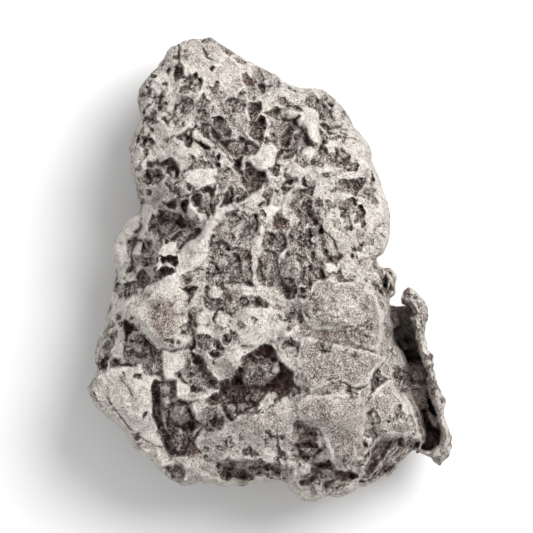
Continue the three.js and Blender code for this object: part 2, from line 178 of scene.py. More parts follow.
def outline_distance(outline, margin=8):
    """The window round an outline and the distance from it in steps, negative inside."""
    points = points_of(outline)
    window = window_round(points, margin)
    x, y = wobbled_x[window], wobbled_y[window]
    nearest = np.full(x.shape, 99.0)
    inside = np.zeros(x.shape, bool)
    for start, end in zip(points, np.roll(points, -1, axis=0)):
        nearest = np.minimum(nearest, away_from_side(x, y, start, end))
        if start[1] != end[1]:
            crossing = (end[0] - start[0]) * (y - start[1]) / (end[1] - start[1]) + start[0]
            inside ^= ((start[1] > y) != (end[1] > y)) & (x < crossing)
    return window, np.where(inside, -nearest, nearest)


def line_distance(line, margin=8):
    points = points_of(line)
    window = window_round(points, margin)
    x, y = wobbled_x[window], wobbled_y[window]
    nearest = np.full(x.shape, 99.0)
    for start, end in zip(points[:-1], points[1:]):
        nearest = np.minimum(nearest, away_from_side(x, y, start, end))
    return window, nearest


# %% [markdown]
# ## The layers, and the strokes that work on them
#
# `relief` is height in millimetres above the plain face. `tone` runs from 0 in the darkest hollows
# to 1 on the palest crust. `rough` says how broken a spot is: 0 on smooth crust, 1 where the
# stone's plates lie open. `rust` is how red it is. Each kind of feature is a stroke, and most strokes
# change height and colour at once, so a pit is never dark without being deep.

# %% Empty layers
PALE, CHALK, ASH, SLATE, BROWN, DARK, BLACK = 0.92, 0.82, 0.69, 0.62, 0.56, 0.49, 0.4
PLAIN_TONE = 0.8  # of crust that no stroke has touched
PLAIN_ROUGH = 0.35

relief = np.zeros(grid_x.shape)
tone = np.full(grid_x.shape, PLAIN_TONE)
rough = np.full(grid_x.shape, PLAIN_ROUGH)
rust = np.zeros(grid_x.shape)
sheerness = 1 + 0.75 * lumps(grid_x, grid_y, 14, 5)  # some walls are steep, others slope


# %% Help for the strokes
def paint(window, share, shade, broken=None, redness=None):
    """Brings the tone, and how broken and rusty the stone is where that is given, to new values."""
    for layer, value in ((tone, shade), (rough, broken), (rust, redness)):
        if value is not None:
            layer[window] = mix(layer[window], value, share)


def lay(stroke, features, what):
    for feature in features:
        stroke(*feature)
    print(len(features), what)


# %% Strokes for areas
# Widths are in steps of the drawing and heights in millimetres
ZONE_LIFT = 0.6  # of the lift listed
PIT_DEPTH = 0.33  # of the depth listed
PIT_WALL, PIT_FALL = 2.4, 7  # widths of its wall, and of the floor that goes on falling
PIT_LIP, LIP_PLACE = 0.16, 2
# A painted highlight round the pits: how much paler a band just outside each pit's edge is made, and how
# far out it lies, in steps
RIM_HIGHLIGHT, HIGHLIGHT_PLACE = 0.08, 1.5
COLOUR_EDGE, PLATE_COLOUR_EDGE = 1.6, 1.8
PLATE_ROUGH, STONE_ROUGH, RIDGE_ROUGH = 0.12, 0.55, 0.2


def zone(shade, broken, lift, softness, outline):
    """Sets how pale, how broken and how high the stone is over a wide area."""
    window, away = outline_distance(outline, softness)
    share = ease(0.5 - away / softness)
    paint(window, share, shade, broken)
    relief[window] += ZONE_LIFT * lift * share


def pit(depth, shade, redness, outline):
    """Sinks an area: a wall, a floor that goes on falling to the middle, and a slight lip."""
    window, away = outline_distance(outline)
    wall = ease(0.5 - away / (PIT_WALL * sheerness[window]))
    relief[window] -= PIT_DEPTH * depth * (0.7 * wall + 0.3 * ease(-away / PIT_FALL))
    relief[window] += PIT_LIP * min(depth, 2) * np.exp(-((away - LIP_PLACE) ** 2) / 2)
    share = ease(0.5 - away / COLOUR_EDGE)
    # painted highlight: a pale band just outside the pit's edge
    rim = np.exp(-((away - HIGHLIGHT_PLACE) ** 2) / 2)
    tone[window] += RIM_HIGHLIGHT * min(depth, 1.5) * (1 - share) * rim
    paint(window, share, shade, 1, redness)


def plate(rise, shade, outline):
    """Raises a piece of crust with a rounded edge, which is paler than its middle."""
    window, away = outline_distance(outline)
    relief[window] += rise * (0.5 * ease(0.5 - away / 3) + 0.4 * ease(-away / 9))
    share = ease(0.5 - away / PLATE_COLOUR_EDGE)
    paint(window, share, mix(max(shade, PALE), shade, ease(-away / 6)), PLATE_ROUGH, 0)


def stone(rise, shade, redness, outline):
    """A bare, rounded lump."""
    window, away = outline_distance(outline)
    relief[window] += rise * (0.5 * ease(0.5 - away / 2) + 0.5 * ease(-away / 6))
    paint(window, ease(0.5 - away / COLOUR_EDGE), shade, STONE_ROUGH, redness)


def stain(shade, redness, softness, outline):
    """Only changes the colour."""
    window, away = outline_distance(outline)
    paint(window, ease(0.5 - away / softness), shade, redness=redness)


def shift(added, softness, outline):
    """Makes a wide area a little paler or darker."""
    window, away = outline_distance(outline, softness)
    tone[window] += added * ease(0.5 - away / softness)


# %% Strokes for lines
def crack(width, depth, line):
    """Widens and narrows as it goes, and fades here and there."""
    window, away = line_distance(line)
    opening = width * (0.95 + 0.45 * lumps(grid_x[window], grid_y[window], 6, 8))
    relief[window] -= depth * ease(1 - away / opening)
    paint(window, 0.75 * ease(1.2 - away / opening), DARK)


def ridge(width, rise, shade, line):
    """A thin crest, with a width that wanders a little."""
    window, away = line_distance(line)
    width = width * (1 + 0.35 * lumps(grid_x[window], grid_y[window], 8, 9))
    relief[window] += rise * ease(1 - away / width)
    paint(window, ease(1.3 - away / width), shade, RIDGE_ROUGH)


# %% [markdown]
# ## Wide areas
#
# The crust isn't the same all over. It is smooth and sandy grey on the plateaus of the lower right,
# smooth and pale on the corner plate at the lower left, and broken up over the top of the head and
# through the middle, where the stone's plates lie open. These areas go down first, with soft edges.

# %% Lay the wide areas
ZONES = [  # tone, how broken, lift in mm, softness, where
    (0.8, 0.25, -0.6, 22, "185,95 215,90 240,88 275,100 300,105 335,120 325,145 300,158 265,168 "
     "230,165 190,150"),
    (0.78, 0.3, -1.0, 22, "150,212 200,205 215,222 280,205 330,225 345,262 315,285 270,292 225,285 "
     "215,240 190,240 165,265 150,250"),
    (0.8, 0.3, -0.8, 20, "185,300 235,300 245,345 210,395 170,400 165,350"),
    (0.86, 0.25, 0, 18, "140,85 165,62 180,85 175,110 165,150 140,160"),
    (0.84, 0.3, 0, 12, "140,130 200,128 220,150 215,170 160,165 140,170"),
    (0.75, 0.12, 0, 14, "182,40 205,37 235,55 250,72 235,90 205,92 186,70"),
    (0.78, 0.14, 0.3, 18, "335,140 365,140 385,200 385,245 340,245 330,195"),
    (0.56, 0.06, 1.2, 14, "306,288 370,288 382,330 375,350 300,345"),
    (0.57, 0.08, 1.0, 14, "300,345 372,352 384,360 350,385 310,392 298,375"),
    (0.59, 0.1, 0.8, 14, "240,420 300,395 365,395 410,400 410,436 330,440 260,440 230,430"),
    (0.82, 0.06, 0, 12, "92,374 138,368 150,385 152,420 164,460 130,445 95,405"),
    (0.8, 0.1, 0, 12, "128,300 170,278 185,300 172,340 135,325"),
    (0.7, 0.45, 0, 10, "382,305 392,345 412,385 424,440 408,425 392,375 380,340"),
    # painted light: the left flank, which faces away from the lamp, is made paler to stand in for light
    # that it misses
    (0.94, 0.3, 0, 12, "108,210 142,210 142,285 118,300 104,345 92,372 98,330"),
    (0.82, 0.35, 0, 12, "110,305 140,300 155,345 150,368 100,368 98,345"),
    (0.84, 0.2, 0, 12, "180,462 215,452 290,455 330,480 300,500 200,484"),
]
lay(zone, ZONES, "wide areas")

# %% [markdown]
# ## Bare stone and plates of crust
#
# Where the crust has come away, the stone underneath is greyer, lower and made of thin plates. Other
# pieces of crust stand a millimetre or two proud, with rounded edges that catch the light.

# %% Lay the stone bare
BARE = [  # as in the wide areas
    (0.65, 0.9, -0.7, 3, "196,118 210,117 216,119 214,127 218,134 223,146 222,149 214,144 206,140 "
     "200,132 197,126"),
    (0.58, 0.9, -0.5, 3, "219,119 221,110 225,100 232,97 239,99 242,106 244,113 238,115 232,119 226,121"),
    (0.65, 0.9, -0.5, 3, "194,107 199,101 203,95 207,100 210,104 210,114 209,119 204,121 199,118 196,112"),
    (0.5, 0.9, -1.2, 3, "268,119 284,119 297,122 300,130 306,134 312,142 312,146 304,148 300,158 "
     "290,158 280,168 274,166 276,158 282,150 276,146 270,140 268,130"),
    (0.56, 0.8, -0.6, 3, "279,99 285,98 290,104 300,106 303,110 298,114 290,110 282,106"),
    (0.6, 0.8, -0.7, 4, "308,100 322,99 330,110 336,124 330,140 322,146 312,140 316,128 321,122 316,110"),
    (0.42, 0.9, -1.6, 3, "222,141 232,160 240,172 240,162 244,156 256,154 260,149 253,143 243,138 232,142"),
    (0.68, 0.8, -0.7, 4, "146,164 158,160 164,166 162,184 150,188 142,180"),
    (0.67, 0.9, -0.8, 3, "158,206 172,211 190,216 195,226 204,228 202,233 194,238 180,248 166,252 "
     "160,244 158,226"),
    (0.7, 0.7, -0.3, 4, "215,228 226,221 240,214 256,214 262,226 254,240 248,250 238,246 228,240 218,236"),
    (0.63, 0.9, -1.0, 3, "210,236 218,233 232,246 250,250 250,260 252,284 236,284 224,290 208,282 "
     "206,272 216,262 207,258"),
    (0.6, 0.9, -1.1, 3, "264,232 286,232 288,246 280,254 278,268 290,288 276,288 258,285 256,268 "
     "262,252 262,240"),
    (0.62, 0.9, -1.1, 3, "289,228 300,222 310,226 322,228 334,240 342,256 336,266 324,264 326,278 "
     "312,282 302,282 296,288 284,276 280,262 290,250"),
    (0.58, 0.8, -1.2, 3, "292,192 302,188 311,189 312,206 317,226 306,228 298,218 290,208"),
    (0.66, 0.8, -0.6, 4, "204,296 222,300 226,288 240,290 242,306 252,294 268,306 250,308 238,316 "
     "222,312 206,308"),
    (0.7, 0.7, -0.8, 4, "184,318 194,308 197,322 196,350 206,360 214,378 206,390 190,392 186,370 "
     "188,348"),
    (0.7, 0.8, -0.6, 4, "130,330 142,332 162,352 162,378 150,372 142,366 124,368 128,350"),
    # painted light: these four lie on the left flank, which faces away from the lamp, and are made paler to
    # stand in for light that they miss
    (0.8, 0.6, -0.6, 4, "104,330 118,320 120,334 116,352 122,366 100,368"),
    (0.9, 0.5, -0.5, 4, "118,222 140,214 142,240 132,262 118,268"),
    (0.84, 0.6, -0.4, 4, "142,222 158,222 156,244 158,262 148,284 140,292 134,280 142,262 141,240"),
    (0.92, 0.5, -0.5, 4, "118,268 136,264 134,296 112,316 108,340 100,330 110,300"),
    (0.5, 0.9, -2.2, 3, "154,380 176,380 176,400 192,402 194,418 204,422 200,432 184,456 170,458 "
     "160,440 152,416"),
    (0.62, 0.8, -1.0, 3, "190,400 222,402 226,418 222,430 206,432 194,418"),
    (0.56, 0.8, -0.8, 5, "296,420 320,420 326,446 310,462 292,460 290,440"),
    (0.57, 0.9, -1.5, 4, "376,441 390,437 420,441 420,448 404,460 394,474 372,482 358,484 366,470 "
     "366,456"),
    (0.58, 0.9, -1.6, 4, "312,460 334,461 358,476 348,486 326,492 312,484 300,486 300,478 312,472"),
    (0.64, 0.9, -0.7, 5, "214,462 232,458 256,462 262,474 246,482 222,480"),
    (0.64, 0.7, -0.4, 5, "258,464 290,464 294,480 270,480"),
    (0.6, 0.8, -0.6, 4, "336,180 364,180 376,188 374,200 356,194 340,190"),
    (0.64, 0.7, -0.5, 4, "318,146 340,148 352,156 346,168 330,168 318,158"),
]
lay(zone, BARE, "bare areas")

# %% Raise the plates
PLATES = [  # rise in mm, tone, where
    (1.8, 0.82, "128,298 135,297 141,295 151,285 160,280 168,275 174,272 179,273 181,280 184,290 "
     "190,303 190,310 180,315 188,322 182,330 188,332 192,342 183,348 170,350 163,346 159,349 150,339 "
     "143,332 138,327 130,322 122,320 123,308"),
    (1.6, 0.84, "95,372 112,370 122,367 132,365.5 140,365 143,373 154,378 152,395 153,420 162,442 "
     "168,458 164,478 144,460 122,438 94,412 80,392"),
    (2.0, 0.8, "160,184 164,181 180,178 190,170 205,165 217,170 217,183 200,191 190,195 180,198 "
     "170,201 160,203"),
    (1.6, 0.54, "310,286 318,281 328,279 352,282 365,285 376,297 383,315 383,335 376,350 352,343 "
     "344,329 330,330 310,328 302,318 300,302"),
    (1.2, 0.56, "300,335 345,345 372,352 388,357 378,366 374,371 366,382 360,386 353,386 343,380 "
     "330,382 310,390 298,380 296,360"),
    (1.4, 0.57, "371,393 376,387 383,382 391,381 397,388 406,405 413,425 412,434 405,438 378,436 "
     "370,415"),
    (1.2, 0.58, "310,395 360,392 366,410 362,436 364,446 367,450 362,459 356,465 348,469.5 340,469 "
     "334,464 330,458 326,440 318,425 300,418 296,400"),
    (1.2, 0.86, "362,437 371,437 376,440 375,444 372,449 369,450 366,446"),
    (1.4, 0.86, "241,313 247,308 266,306 285,312 298,318 298,332 275,340 250,345 240,345 237,330"),
    (1.3, 0.84, "301,108 307,107 313,110 317,115 320,122 318,127 320,137 322,142 319,145 308,138 "
     "306,130 300,122 299,115"),
    (0.9, 0.84, "326,141 337,141 336,153 327,155"),
    (2.6, 0.86, "190,200 198,207 206,215 203,222 196,223 190,216 188,208"),
    (1.8, 0.86, "222,200 228,210 222,218 216,226 212,234 209,242 208,250 206,257 203,262 198,267 "
     "190,271 180,277 175,270 178,262 176,256 181,250 188,243 196,239 202,232 206,224 210,215 216,206"),
    (1.5, 0.88, "155,262 157,252 163,244 170,240 177,243 179,250 175,257 166,257 162,262 161,274 "
     "156,275 153,270"),
    (1.2, 0.88, "126,218 134,214 141,216 140,226 134,234 128,243 127,254 127,262 121,268 116,263 "
     "114,250 118,234"),
    (1.2, 0.9, "143,206 150,203 157,211 158,222 151,227 146,236 143,243 140,252 143,262 143,272 "
     "139,273 135,262 134,250 139,238 141,226 143,218"),
    (1.6, 0.85, "163,349 172,353 180,350 188,352 188,362 184,368 176,373 174,380 167,381 163,374 "
     "162,364"),
    (1.3, 0.86, "176,382 184,383 190,387 192,393 200,394 212,390 220,386 221,390 212,396 200,400 "
     "186,400 177,397"),
    (1.8, 0.7, "206,350 211,341 222,352 232,345 240,344 243,352 240,371 234,376 226,380 218,379 "
     "212,374 206,366 203,358"),
    (1.5, 0.8, "190,404 200,400 213,400 222,404 220,412 208,416 198,420 193,414"),
    (1.3, 0.86, "286,172 292,160 300,150 308,150 318,156 328,164 334,172 324,174 312,172 304,176 "
     "294,180"),
    (1.2, 0.86, "246,206 252,198 262,190 270,186 276,188 270,196 266,204 276,206 280,210 272,216 "
     "266,224 260,220 256,212"),
    (1.1, 0.84, "239,287 246,285 253,287 255,291 251,295 245,297 241,294"),
    (1.3, 0.76, "208,288 214,284 220,287 222,293 216,299 209,297"),
    (1.2, 0.76, "216,317 221,314 228,316 230,322 224,328 217,325"),
    (1.6, 0.82, "241,178 243,170 245,162 248,158 250,160 246,168 246,180"),
    (1.6, 0.84, "248,160 250,155 258,152 262,141 270,144 278,146 276,158 272,166 266,171 258,168 250,164"),
    (1.5, 0.84, "258,228 262,225 266,230 264,236 262,241 261,246 264,249 262,256 259,260 257,268 "
     "257,276 258,283 256,287 252,280 251,272 250,262 251,252 252,244 254,238 257,233"),
    (1.2, 0.82, "284,248 288,246 288,252 284,256 281,262 281,268 284,275 289,282 289,287 283,281 "
     "279,274 277,266 279,258 281,252"),
    (0.8, 0.82, "255,287 266,285 278,291 286,299 284,306 270,303 258,297"),
    (0.9, 0.8, "323,263 332,263 337,266 336,272 328,273 324,270"),
    (1.0, 0.8, "118,322 124,322 125,335 124,348 130,350 122,357 114,358 110,352 113,343 117,335"),
    (1.2, 0.86, "263,115 270,117 276,120 272,126 267,124"),
    (1.4, 0.84, "267,130 270,127 272,133 270,138 264,139 263,135"),
    (1.4, 0.8, "195,328 206,326 212,332 211,346 206,354 198,350 195,342"),
    (1.0, 0.76, "197,316 206,311 214,314 212,322 202,324 196,321"),
    (1.2, 0.84, "319,436 326,434 330,442 326,450 320,448 317,442"),
    (1.0, 0.84, "300,462 308,461 311,468 307,474 300,472"),
    (1.2, 0.86, "292,470 295,468 297,474 295,479 291,478"),
]
lay(plate, PLATES, "plates")

# %% [markdown]
# ## Pits
#
# The pits give the stone its look. Each is an outline with a depth, a tone and some rust, listed by
# the part of the face that it lies in. Shallow ones are grey, and the deepest are dark brown.

# %% Pits of the head
HEAD_PITS = [  # depth before PIT_DEPTH is applied, tone, rust, where
    (2.6, DARK, 0, "178,44 181,46 180.5,52 180,58 178,63 176,60 173,59.5 176,56 179,52 177.5,46"),
    (3.4, DARK, 0, "178,62 182,64 184,69 183,75 181,80 178,83 175,81 173.5,76 174.5,70 175,65"),
    (3.2, DARK, 0.1, "183,76 187,77 190,74.5 192,77 195,73 197,75 196,80 199,78 202,80 202,85 200,90 "
     "197,93 190,94 184,95 179,93 181,88 183,86 182,81"),
    (1.2, DARK, 0, "211,70 213,67 215,66.5 213,71"),
    (1.0, DARK, 0, "216,86 218,86 218,88.5 216,88"),
    (0.4, ASH, 0, "201,39 209,39 208,43 202,43"),
    (1.4, BROWN, 0.6, "242,75 246,73 248,77 251,79 255,78 256,82 254,86 250,87 246,87 243,82"),
    (0.8, BROWN, 0, "253,88 256,88 256,90 253,90.5"),
    (0.8, SLATE, 0, "233,57 240,59 247,62 245,64 239,62"),
    (1.6, BROWN, 0, "239,92 242,91 241,96 239,99 237,96"),
    (3.4, BLACK, 0, "214,119 219,118 223,119 224,126 222,130 217,130 214,127"),
    (3.2, DARK, 0, "211,129 217,131 219,138 222,143 228,141 231,141 226,147 219,144 213,138 210,133"),
    (2.4, DARK, 0, "249,105 259,103 262,107 258,115 256,120 251,122 249,113"),
    (3.4, BLACK, 0.1, "251,122 257,122 260,117 263,117 266,122 267,125 264,129 262,134 263,139 "
     "260,143 255,142 251,138 250,131"),
    (1.6, 0.38, 0, "263,114 268,111 273,109 278,108 281,110 279,115 277,119 272,117"),
    (2.4, BLACK, 0, "281,120 287,122 293,120 300,115 300,119 297,122 297,130 293,134 290,128 286,124"),
    (2.0, DARK, 0.1, "288,124 291,129 294,133 291,138 289,146 284,150 281,155 276,160 274,160 "
     "279,152 281,143 283,135"),
    (2.4, DARK, 0, "294,136 300,134 300,141 297,148 293,150 290,150 291,142"),
    (2.0, DARK, 0, "306,98 309,96 313,99 317,97 318,102 319,108 317,111 313,108 307,106 305,102"),
    (1.6, DARK, 0, "319,114 322,115 326,119 327,121 324,123 320,122"),
    (2.2, DARK, 0, "320,124 325,124 329,128 330,133 328,139 327,143 323,145 321,142 323,137 321,133"),
    (2.2, DARK, 0.1, "321,147 325,149 326,154 327,157 321,156 318,154 319,150"),
    (2.6, DARK, 0, "325,155 332,156 336,153 335,149 338,150 340,156 344,158 350,157 348,162 345,165 "
     "341,168 337,168 333,166 330,164 327,160"),
    (1.2, BLACK, 0, "342,158 350,157 347,163 344,162"),
    (2.0, 0.38, 0.1, "338,180 345,182 352,181 358,182 362,187 355,189 348,188 341,186"),
    (1.6, 0.38, 0, "364,188 372,190 373,196 368,198 364,192"),
    (0.8, SLATE, 0, "371,168 373,173 374,180 373,188 371,184 371,176"),
    (0.4, ASH, 0, "320,174 328,173 337,176 330,179 322,178"),
    (1.8, 0.4, 0.1, "357,208 361,206 364,212 364,220 366,226 362,228 359,222 355,224 355,216"),
    (0.6, 0.6, 0, "338,201 343,202 346,207 349,213 352,219 350,224 345,222 341,216 338,209"),
    (0.8, BROWN, 0, "343,227 348,228 347,233 343,232"),
    (0.7, SLATE, 0, "325,225 328,226 327,229 325,228"),
    (0.6, ASH, 0, "326,200 329,202 328,212 327,220 326,212"),
    (0.7, SLATE, 0, "328,189 335,189 334,193 329,192"),
]
HEAD_LEFT_PITS = [
    (1.4, DARK, 0, "168,66 171,67 169,72 168,76 166,71"),
    (1.0, BROWN, 0, "151,75 155,76 155,78.5 151,78"),
    (1.0, BROWN, 0, "149,80 152,81 151,85 149,84"),
    (1.0, DARK, 0, "162,82 168,83 167,86 163,85"),
    (2.2, DARK, 0, "166,87 166,92 163,97 161,102 162,108 161,113 158,110 158,103 159,97 162,92"),
    (1.2, DARK, 0, "147,86 149,88 149.5,92 148.5,96 147,91"),
    (1.0, BROWN, 0, "139,101 143,98 147,97.5 145,100"),
    (1.4, DARK, 0, "154,101 151,104 148,107 146,109 145,113 143,116 143,112 145,108 149,104"),
    (1.0, BROWN, 0, "151,113 153,114 153,121 151,120"),
    (1.6, BLACK, 0, "161,118 163,121 166,124 169,128 170,126 168,122 165,117"),
    (1.2, DARK, 0, "138,138 139,143 137.5,147 136,142"),
    (1.8, DARK, 0, "142,151 147,150 148,155 144,160 141,164 140,161 145,157"),
    (2.4, 0.4, 0, "146,171 152,170 158,169 164,171 166,176 165,180 160,183 156,185 151,184 147,186 "
     "145,180 144,175"),
    (3.2, BLACK, 0, "162,165 165,161 170,159 175,161 179,165 180,171 179,177 175,180 172,178 168,174 "
     "164,170"),
    (1.2, DARK, 0, "147,189 152,190 151,196 148,195"),
    (4.0, BLACK, 0.1, "165,204 170,202 178,199 178,206 175,210 170,209 167,207"),
    (4.0, BLACK, 0, "180,204 185,200 190,199 189,207 188,215 184,212 181,208"),
    (4.0, BLACK, 0, "193,196 200,193 201,199 200,207 196,203 193,200"),
    (4.0, BLACK, 0, "201,192 206,188 210,187 213,188 217,184 215,191 214,197 211,200 208,194"),
    (3.6, BLACK, 0, "201,209 206,207 210,203 214,206 215,211 213,216 211,213 207,218 204,213"),
]
lay(pit, HEAD_PITS + HEAD_LEFT_PITS, "pits in the head")

# %% Pits between the head and the middle
NECK_PITS = [
    (2.0, BROWN, 0, "175,139 183,133 187,130 192,131 193,136 195,141 191,144 190,147 186,146 183,142 "
     "178,141"),
    (1.4, DARK, 0, "167,139 171,137 175,136 173,139 169,140"),
    (2.6, DARK, 0, "194,141 200,141 206,146 213,148 219,148 216,152 215,158 219,160 213,162 207,158 "
     "206,151 201,147"),
    (1.6, BROWN, 0, "187,154 192,156 194,160 193,165 196,169 203,170 210,168 216,162 211,161 203,161 "
     "197,162 194,158"),
    (1.6, DARK, 0, "217,154 221,155 220,160 216,160"),
    (1.4, DARK, 0, "216,164 220,165 220,169 216,168"),
    (2.4, BLACK, 0, "231,163 238,161 241,158 241,165 240,172 243,178 238,176 235,170"),
    (2.4, BLACK, 0, "222,141 226,147 230,156 234,161 231,163 226,157 220,149"),
    (4.4, 0.34, 0.15, "239,173 245,170 247,162 252,168 260,172 266,172 266,181 262,185 257,190 "
     "250,195 247,191 243,186 240,180"),
    (1.4, BLACK, 0.1, "245,170 253,169 260,172 266,172 265,177 255,176 247,179"),
    (1.8, 0.4, 0.1, "228,190 232,188 234,197 232,204 227,206 222,206 220,207 223,202 226,196"),
    (1.2, BLACK, 0.1, "231,189 233,190 234,200 231,205 231,196"),
    (1.6, 0.42, 0, "240,196 245,192 250,192 249,197 243,202 236,203 235,201"),
    (2.4, DARK, 0, "229,209 232,206 236,208 239,210 236,215 232,218 226,215 228,212"),
    (1.6, 0.38, 0, "264,193 267,190 271,187 274,189 272,195 269,203 266,200 263,197"),
    (0.6, SLATE, 0, "257,206 262,202 270,202 268,206 260,208"),
    (1.4, DARK, 0, "264,140 270,139 270,143 268,146 265,144"),
    (2.0, 0.44, 0.1, "279,190 282,185 288,182 297,178 298,182 293,188 288,193 284,195"),
    (1.6, BLACK, 0.1, "282,183 290,180 297,178 296,182 289,184 284,186"),
    (1.4, 0.38, 0, "300,179 304,178 306,183 308,188 303,187"),
    (1.8, DARK, 0, "274,165 284,165 281,168 279,175 276,178 272,176 272,171"),
    (0.7, SLATE, 0, "241,212 250,212 256,216 257,220 250,218 243,220"),
    (1.4, DARK, 0, "281,207 284,203 283,208"),
]
lay(pit, NECK_PITS, "pits between the head and the middle")

# %% Pits of the middle
MIDDLE_PITS = [
    (1.6, 0.38, 0, "254,223 258,224 260,230 258,234 254,231 252,226"),
    (1.8, 0.38, 0.25, "274,217 278,214 283,217 287,222 288,230 282,232 274,230 272,222"),
    (1.6, DARK, 0.15, "307,200 310,200 312,210 316,224 309,226 303,222 305,212"),
    (0.8, 0.44, 0, "272,234 285,234 286,246 281,250 272,250 268,242"),
    (1.2, BLACK, 0.1, "217,236 221,240 226,243 231,247 237,249 230,251 223,246 218,242 212,240 213,236"),
    (1.6, BROWN, 0.3, "231,250 236,248 243,250 250,252 250,258 243,259 236,261 233,256"),
    (1.6, DARK, 0.2, "310,262 314,262 320,258 328,256 336,262 336,265 328,262 323,264 323,274 326,278 "
     "318,280 313,276 310,270"),
    (1.0, DARK, 0, "339,254 343,256 341,260 337,259"),
    (1.0, DARK, 0, "350,253 353,254 353,258 350,258"),
    (2.0, BLACK, 0, "283,289 289,285 295,285 297,292 293,298 286,298"),
    (1.4, 0.4, 0, "302,282 311,281 309,290 306,289"),
    (1.0, SLATE, 0, "298,287 305,288 308,295 304,300 298,297"),
    (1.6, BROWN, 0, "184,275 190,271 194,275 193,281 189,284 185,280"),
    (2.4, BLACK, 0.1, "180,288 186,288 190,286 198,288 194,292 193,297 190,301 188,298 186,292"),
    (1.4, BROWN, 0, "204,297 210,301 217,300 221,302 214,308 206,306"),
    (1.8, BLACK, 0, "240,296 247,296 249,300 247,305 243,308 240,303"),
    (1.0, BROWN, 0.2, "250,296 258,296 262,300 262,305 252,304"),
    (2.0, DARK, 0, "190,309 197,308 194,314 191,320 188,318"),
    (1.8, DARK, 0, "222,309 217,314 214,320 214,323 212,318 216,311"),
    (1.2, BROWN, 0, "230,330 235,330 238,335 235,341 232,345 229,341"),
    (2.0, BLACK, 0, "210,353 214,350 219,351 220,356 215,358 211,356"),
    (1.0, BROWN, 0, "222,337 228,334 231,338 229,344 224,344"),
    (1.4, BLACK, 0, "165,340 172,338 174,341 173,347 169,348 171,343"),
    (1.2, DARK, 0, "183,331 187,332 186,335 183,334"),
    (1.0, BROWN, 0, "176,340 180,341 180,346 177,345"),
]
LEFT_PITS = [
    (2.6, DARK, 0, "160,212 168,211 176,213 183,218 190,222 195,228 193,231 186,229 178,226 170,223 "
     "163,226 160,222"),
    (2.0, DARK, 0, "150,228 152,224 155,223 156,226 154,230 150,232 148,230"),
    (1.8, DARK, 0, "146,241 151,240 153,246 152,250 148,247"),
    (0.8, SLATE, 0, "141,248 149,247 150,254 143,256"),
    (1.4, 0.4, 0, "145,259 149,256 153,259 153,264 149,267 145,265"),
    (2.0, DARK, 0, "160,256 167,258 172,257 177,258 178,263 175,267 172,265 170,261 163,262"),
    (3.0, BLACK, 0, "152,281 156,275 160,270 164,267 172,268 174,271 168,273 162,277 157,281"),
    (2.0, DARK, 0, "140,272 144,269 147,272 150,278 153,281 148,286 143,290 139,285 137,278"),
    (1.6, DARK, 0, "128,240 131,241 130,248 128,254 126,250"),
    (1.4, DARK, 0, "132,240 137,236 138,240 134,247 131,246"),
    (1.4, DARK, 0, "127,284 130,282 131,290 130,297 127,298"),
    (1.2, DARK, 0, "114,320 117,314 121,312 121,318 117,320"),
    (1.4, 0.38, 0, "110,336 113,331 117,331 116,338 114,345 111,342"),
    (1.6, DARK, 0, "106,342 108,346 108,356 104,362 103,356 104,349"),
    (2.6, BLACK, 0, "124,320 130,322 139,326 139,331 134,330 131,333 128,334 127,342 125,340 125,330"),
    (2.2, DARK, 0, "128,352 134,349 139,350 141,355 142,361 140,358 134,357 130,357"),
    (1.8, DARK, 0, "110,362 112,360 117,358 122,362 124,366 116,368 110,368"),
]
lay(pit, MIDDLE_PITS + LEFT_PITS, "pits in the middle and on the left")

# %% Pits of the lower half
LOWER_PITS = [
    (1.4, DARK, 0, "168,386 173,384 176,390 175,398 170,398"),
    (1.6, BLACK, 0.1, "152,398 158,397 160,405 161,416 165,428 172,440 178,455 170,456 164,446 "
     "158,430 153,416"),
    (1.6, DARK, 0.1, "176,400 188,402 192,408 193,416 199,421 194,430 188,428 191,414 184,404"),
    (1.2, BROWN, 0.7, "184,436 188,434 192,440 196,446 200,450 204,451 200,453 192,455 186,457 "
     "181,455 180,447 182,441"),
    (2.0, BROWN, 0.3, "211,420 217,417 223,417 226,421 223,426 218,429 213,426"),
    (1.6, DARK, 0, "205,379 212,379 217,382 214,386 208,388 204,385"),
    (1.8, DARK, 0.1, "190,351 197,355 202,357 205,363 206,368 201,370 196,366 193,361"),
    (6.0, 0.32, 0.3, "256,348 262,345 270,345 275,352 279,360 285,366 293,371 292,378 294,385 289,392 "
     "283,397 279,399 276,393 268,392 263,397 258,404 250,409 246,413 241,414 236,417 232,421 227,419 "
     "224,412 222,404 211,404 205,400 210,397 216,394 222,390 221,382 226,381 231,379 236,374 240,371 "
     "241,362 245,357 250,353"),
    (1.0, DARK, 0, "303,391 306,388 309,393 306,395 303,396"),
    (1.8, DARK, 0, "281,345 284,341 288,340 291,337 294,340 297,343 300,342 299,345 295,346 286,346 "
     "282,349"),
    (2.4, DARK, 0, "388,357 384,362 379,366 379,371 382,375 386,379 390,380 384,382 379,385 375,389 "
     "372,393 368,399 370,390 371,383 369,379 374,371 378,366"),
    (1.0, BROWN, 0, "341,457 346,456 350,458 349,461 346,464 343,462"),
]
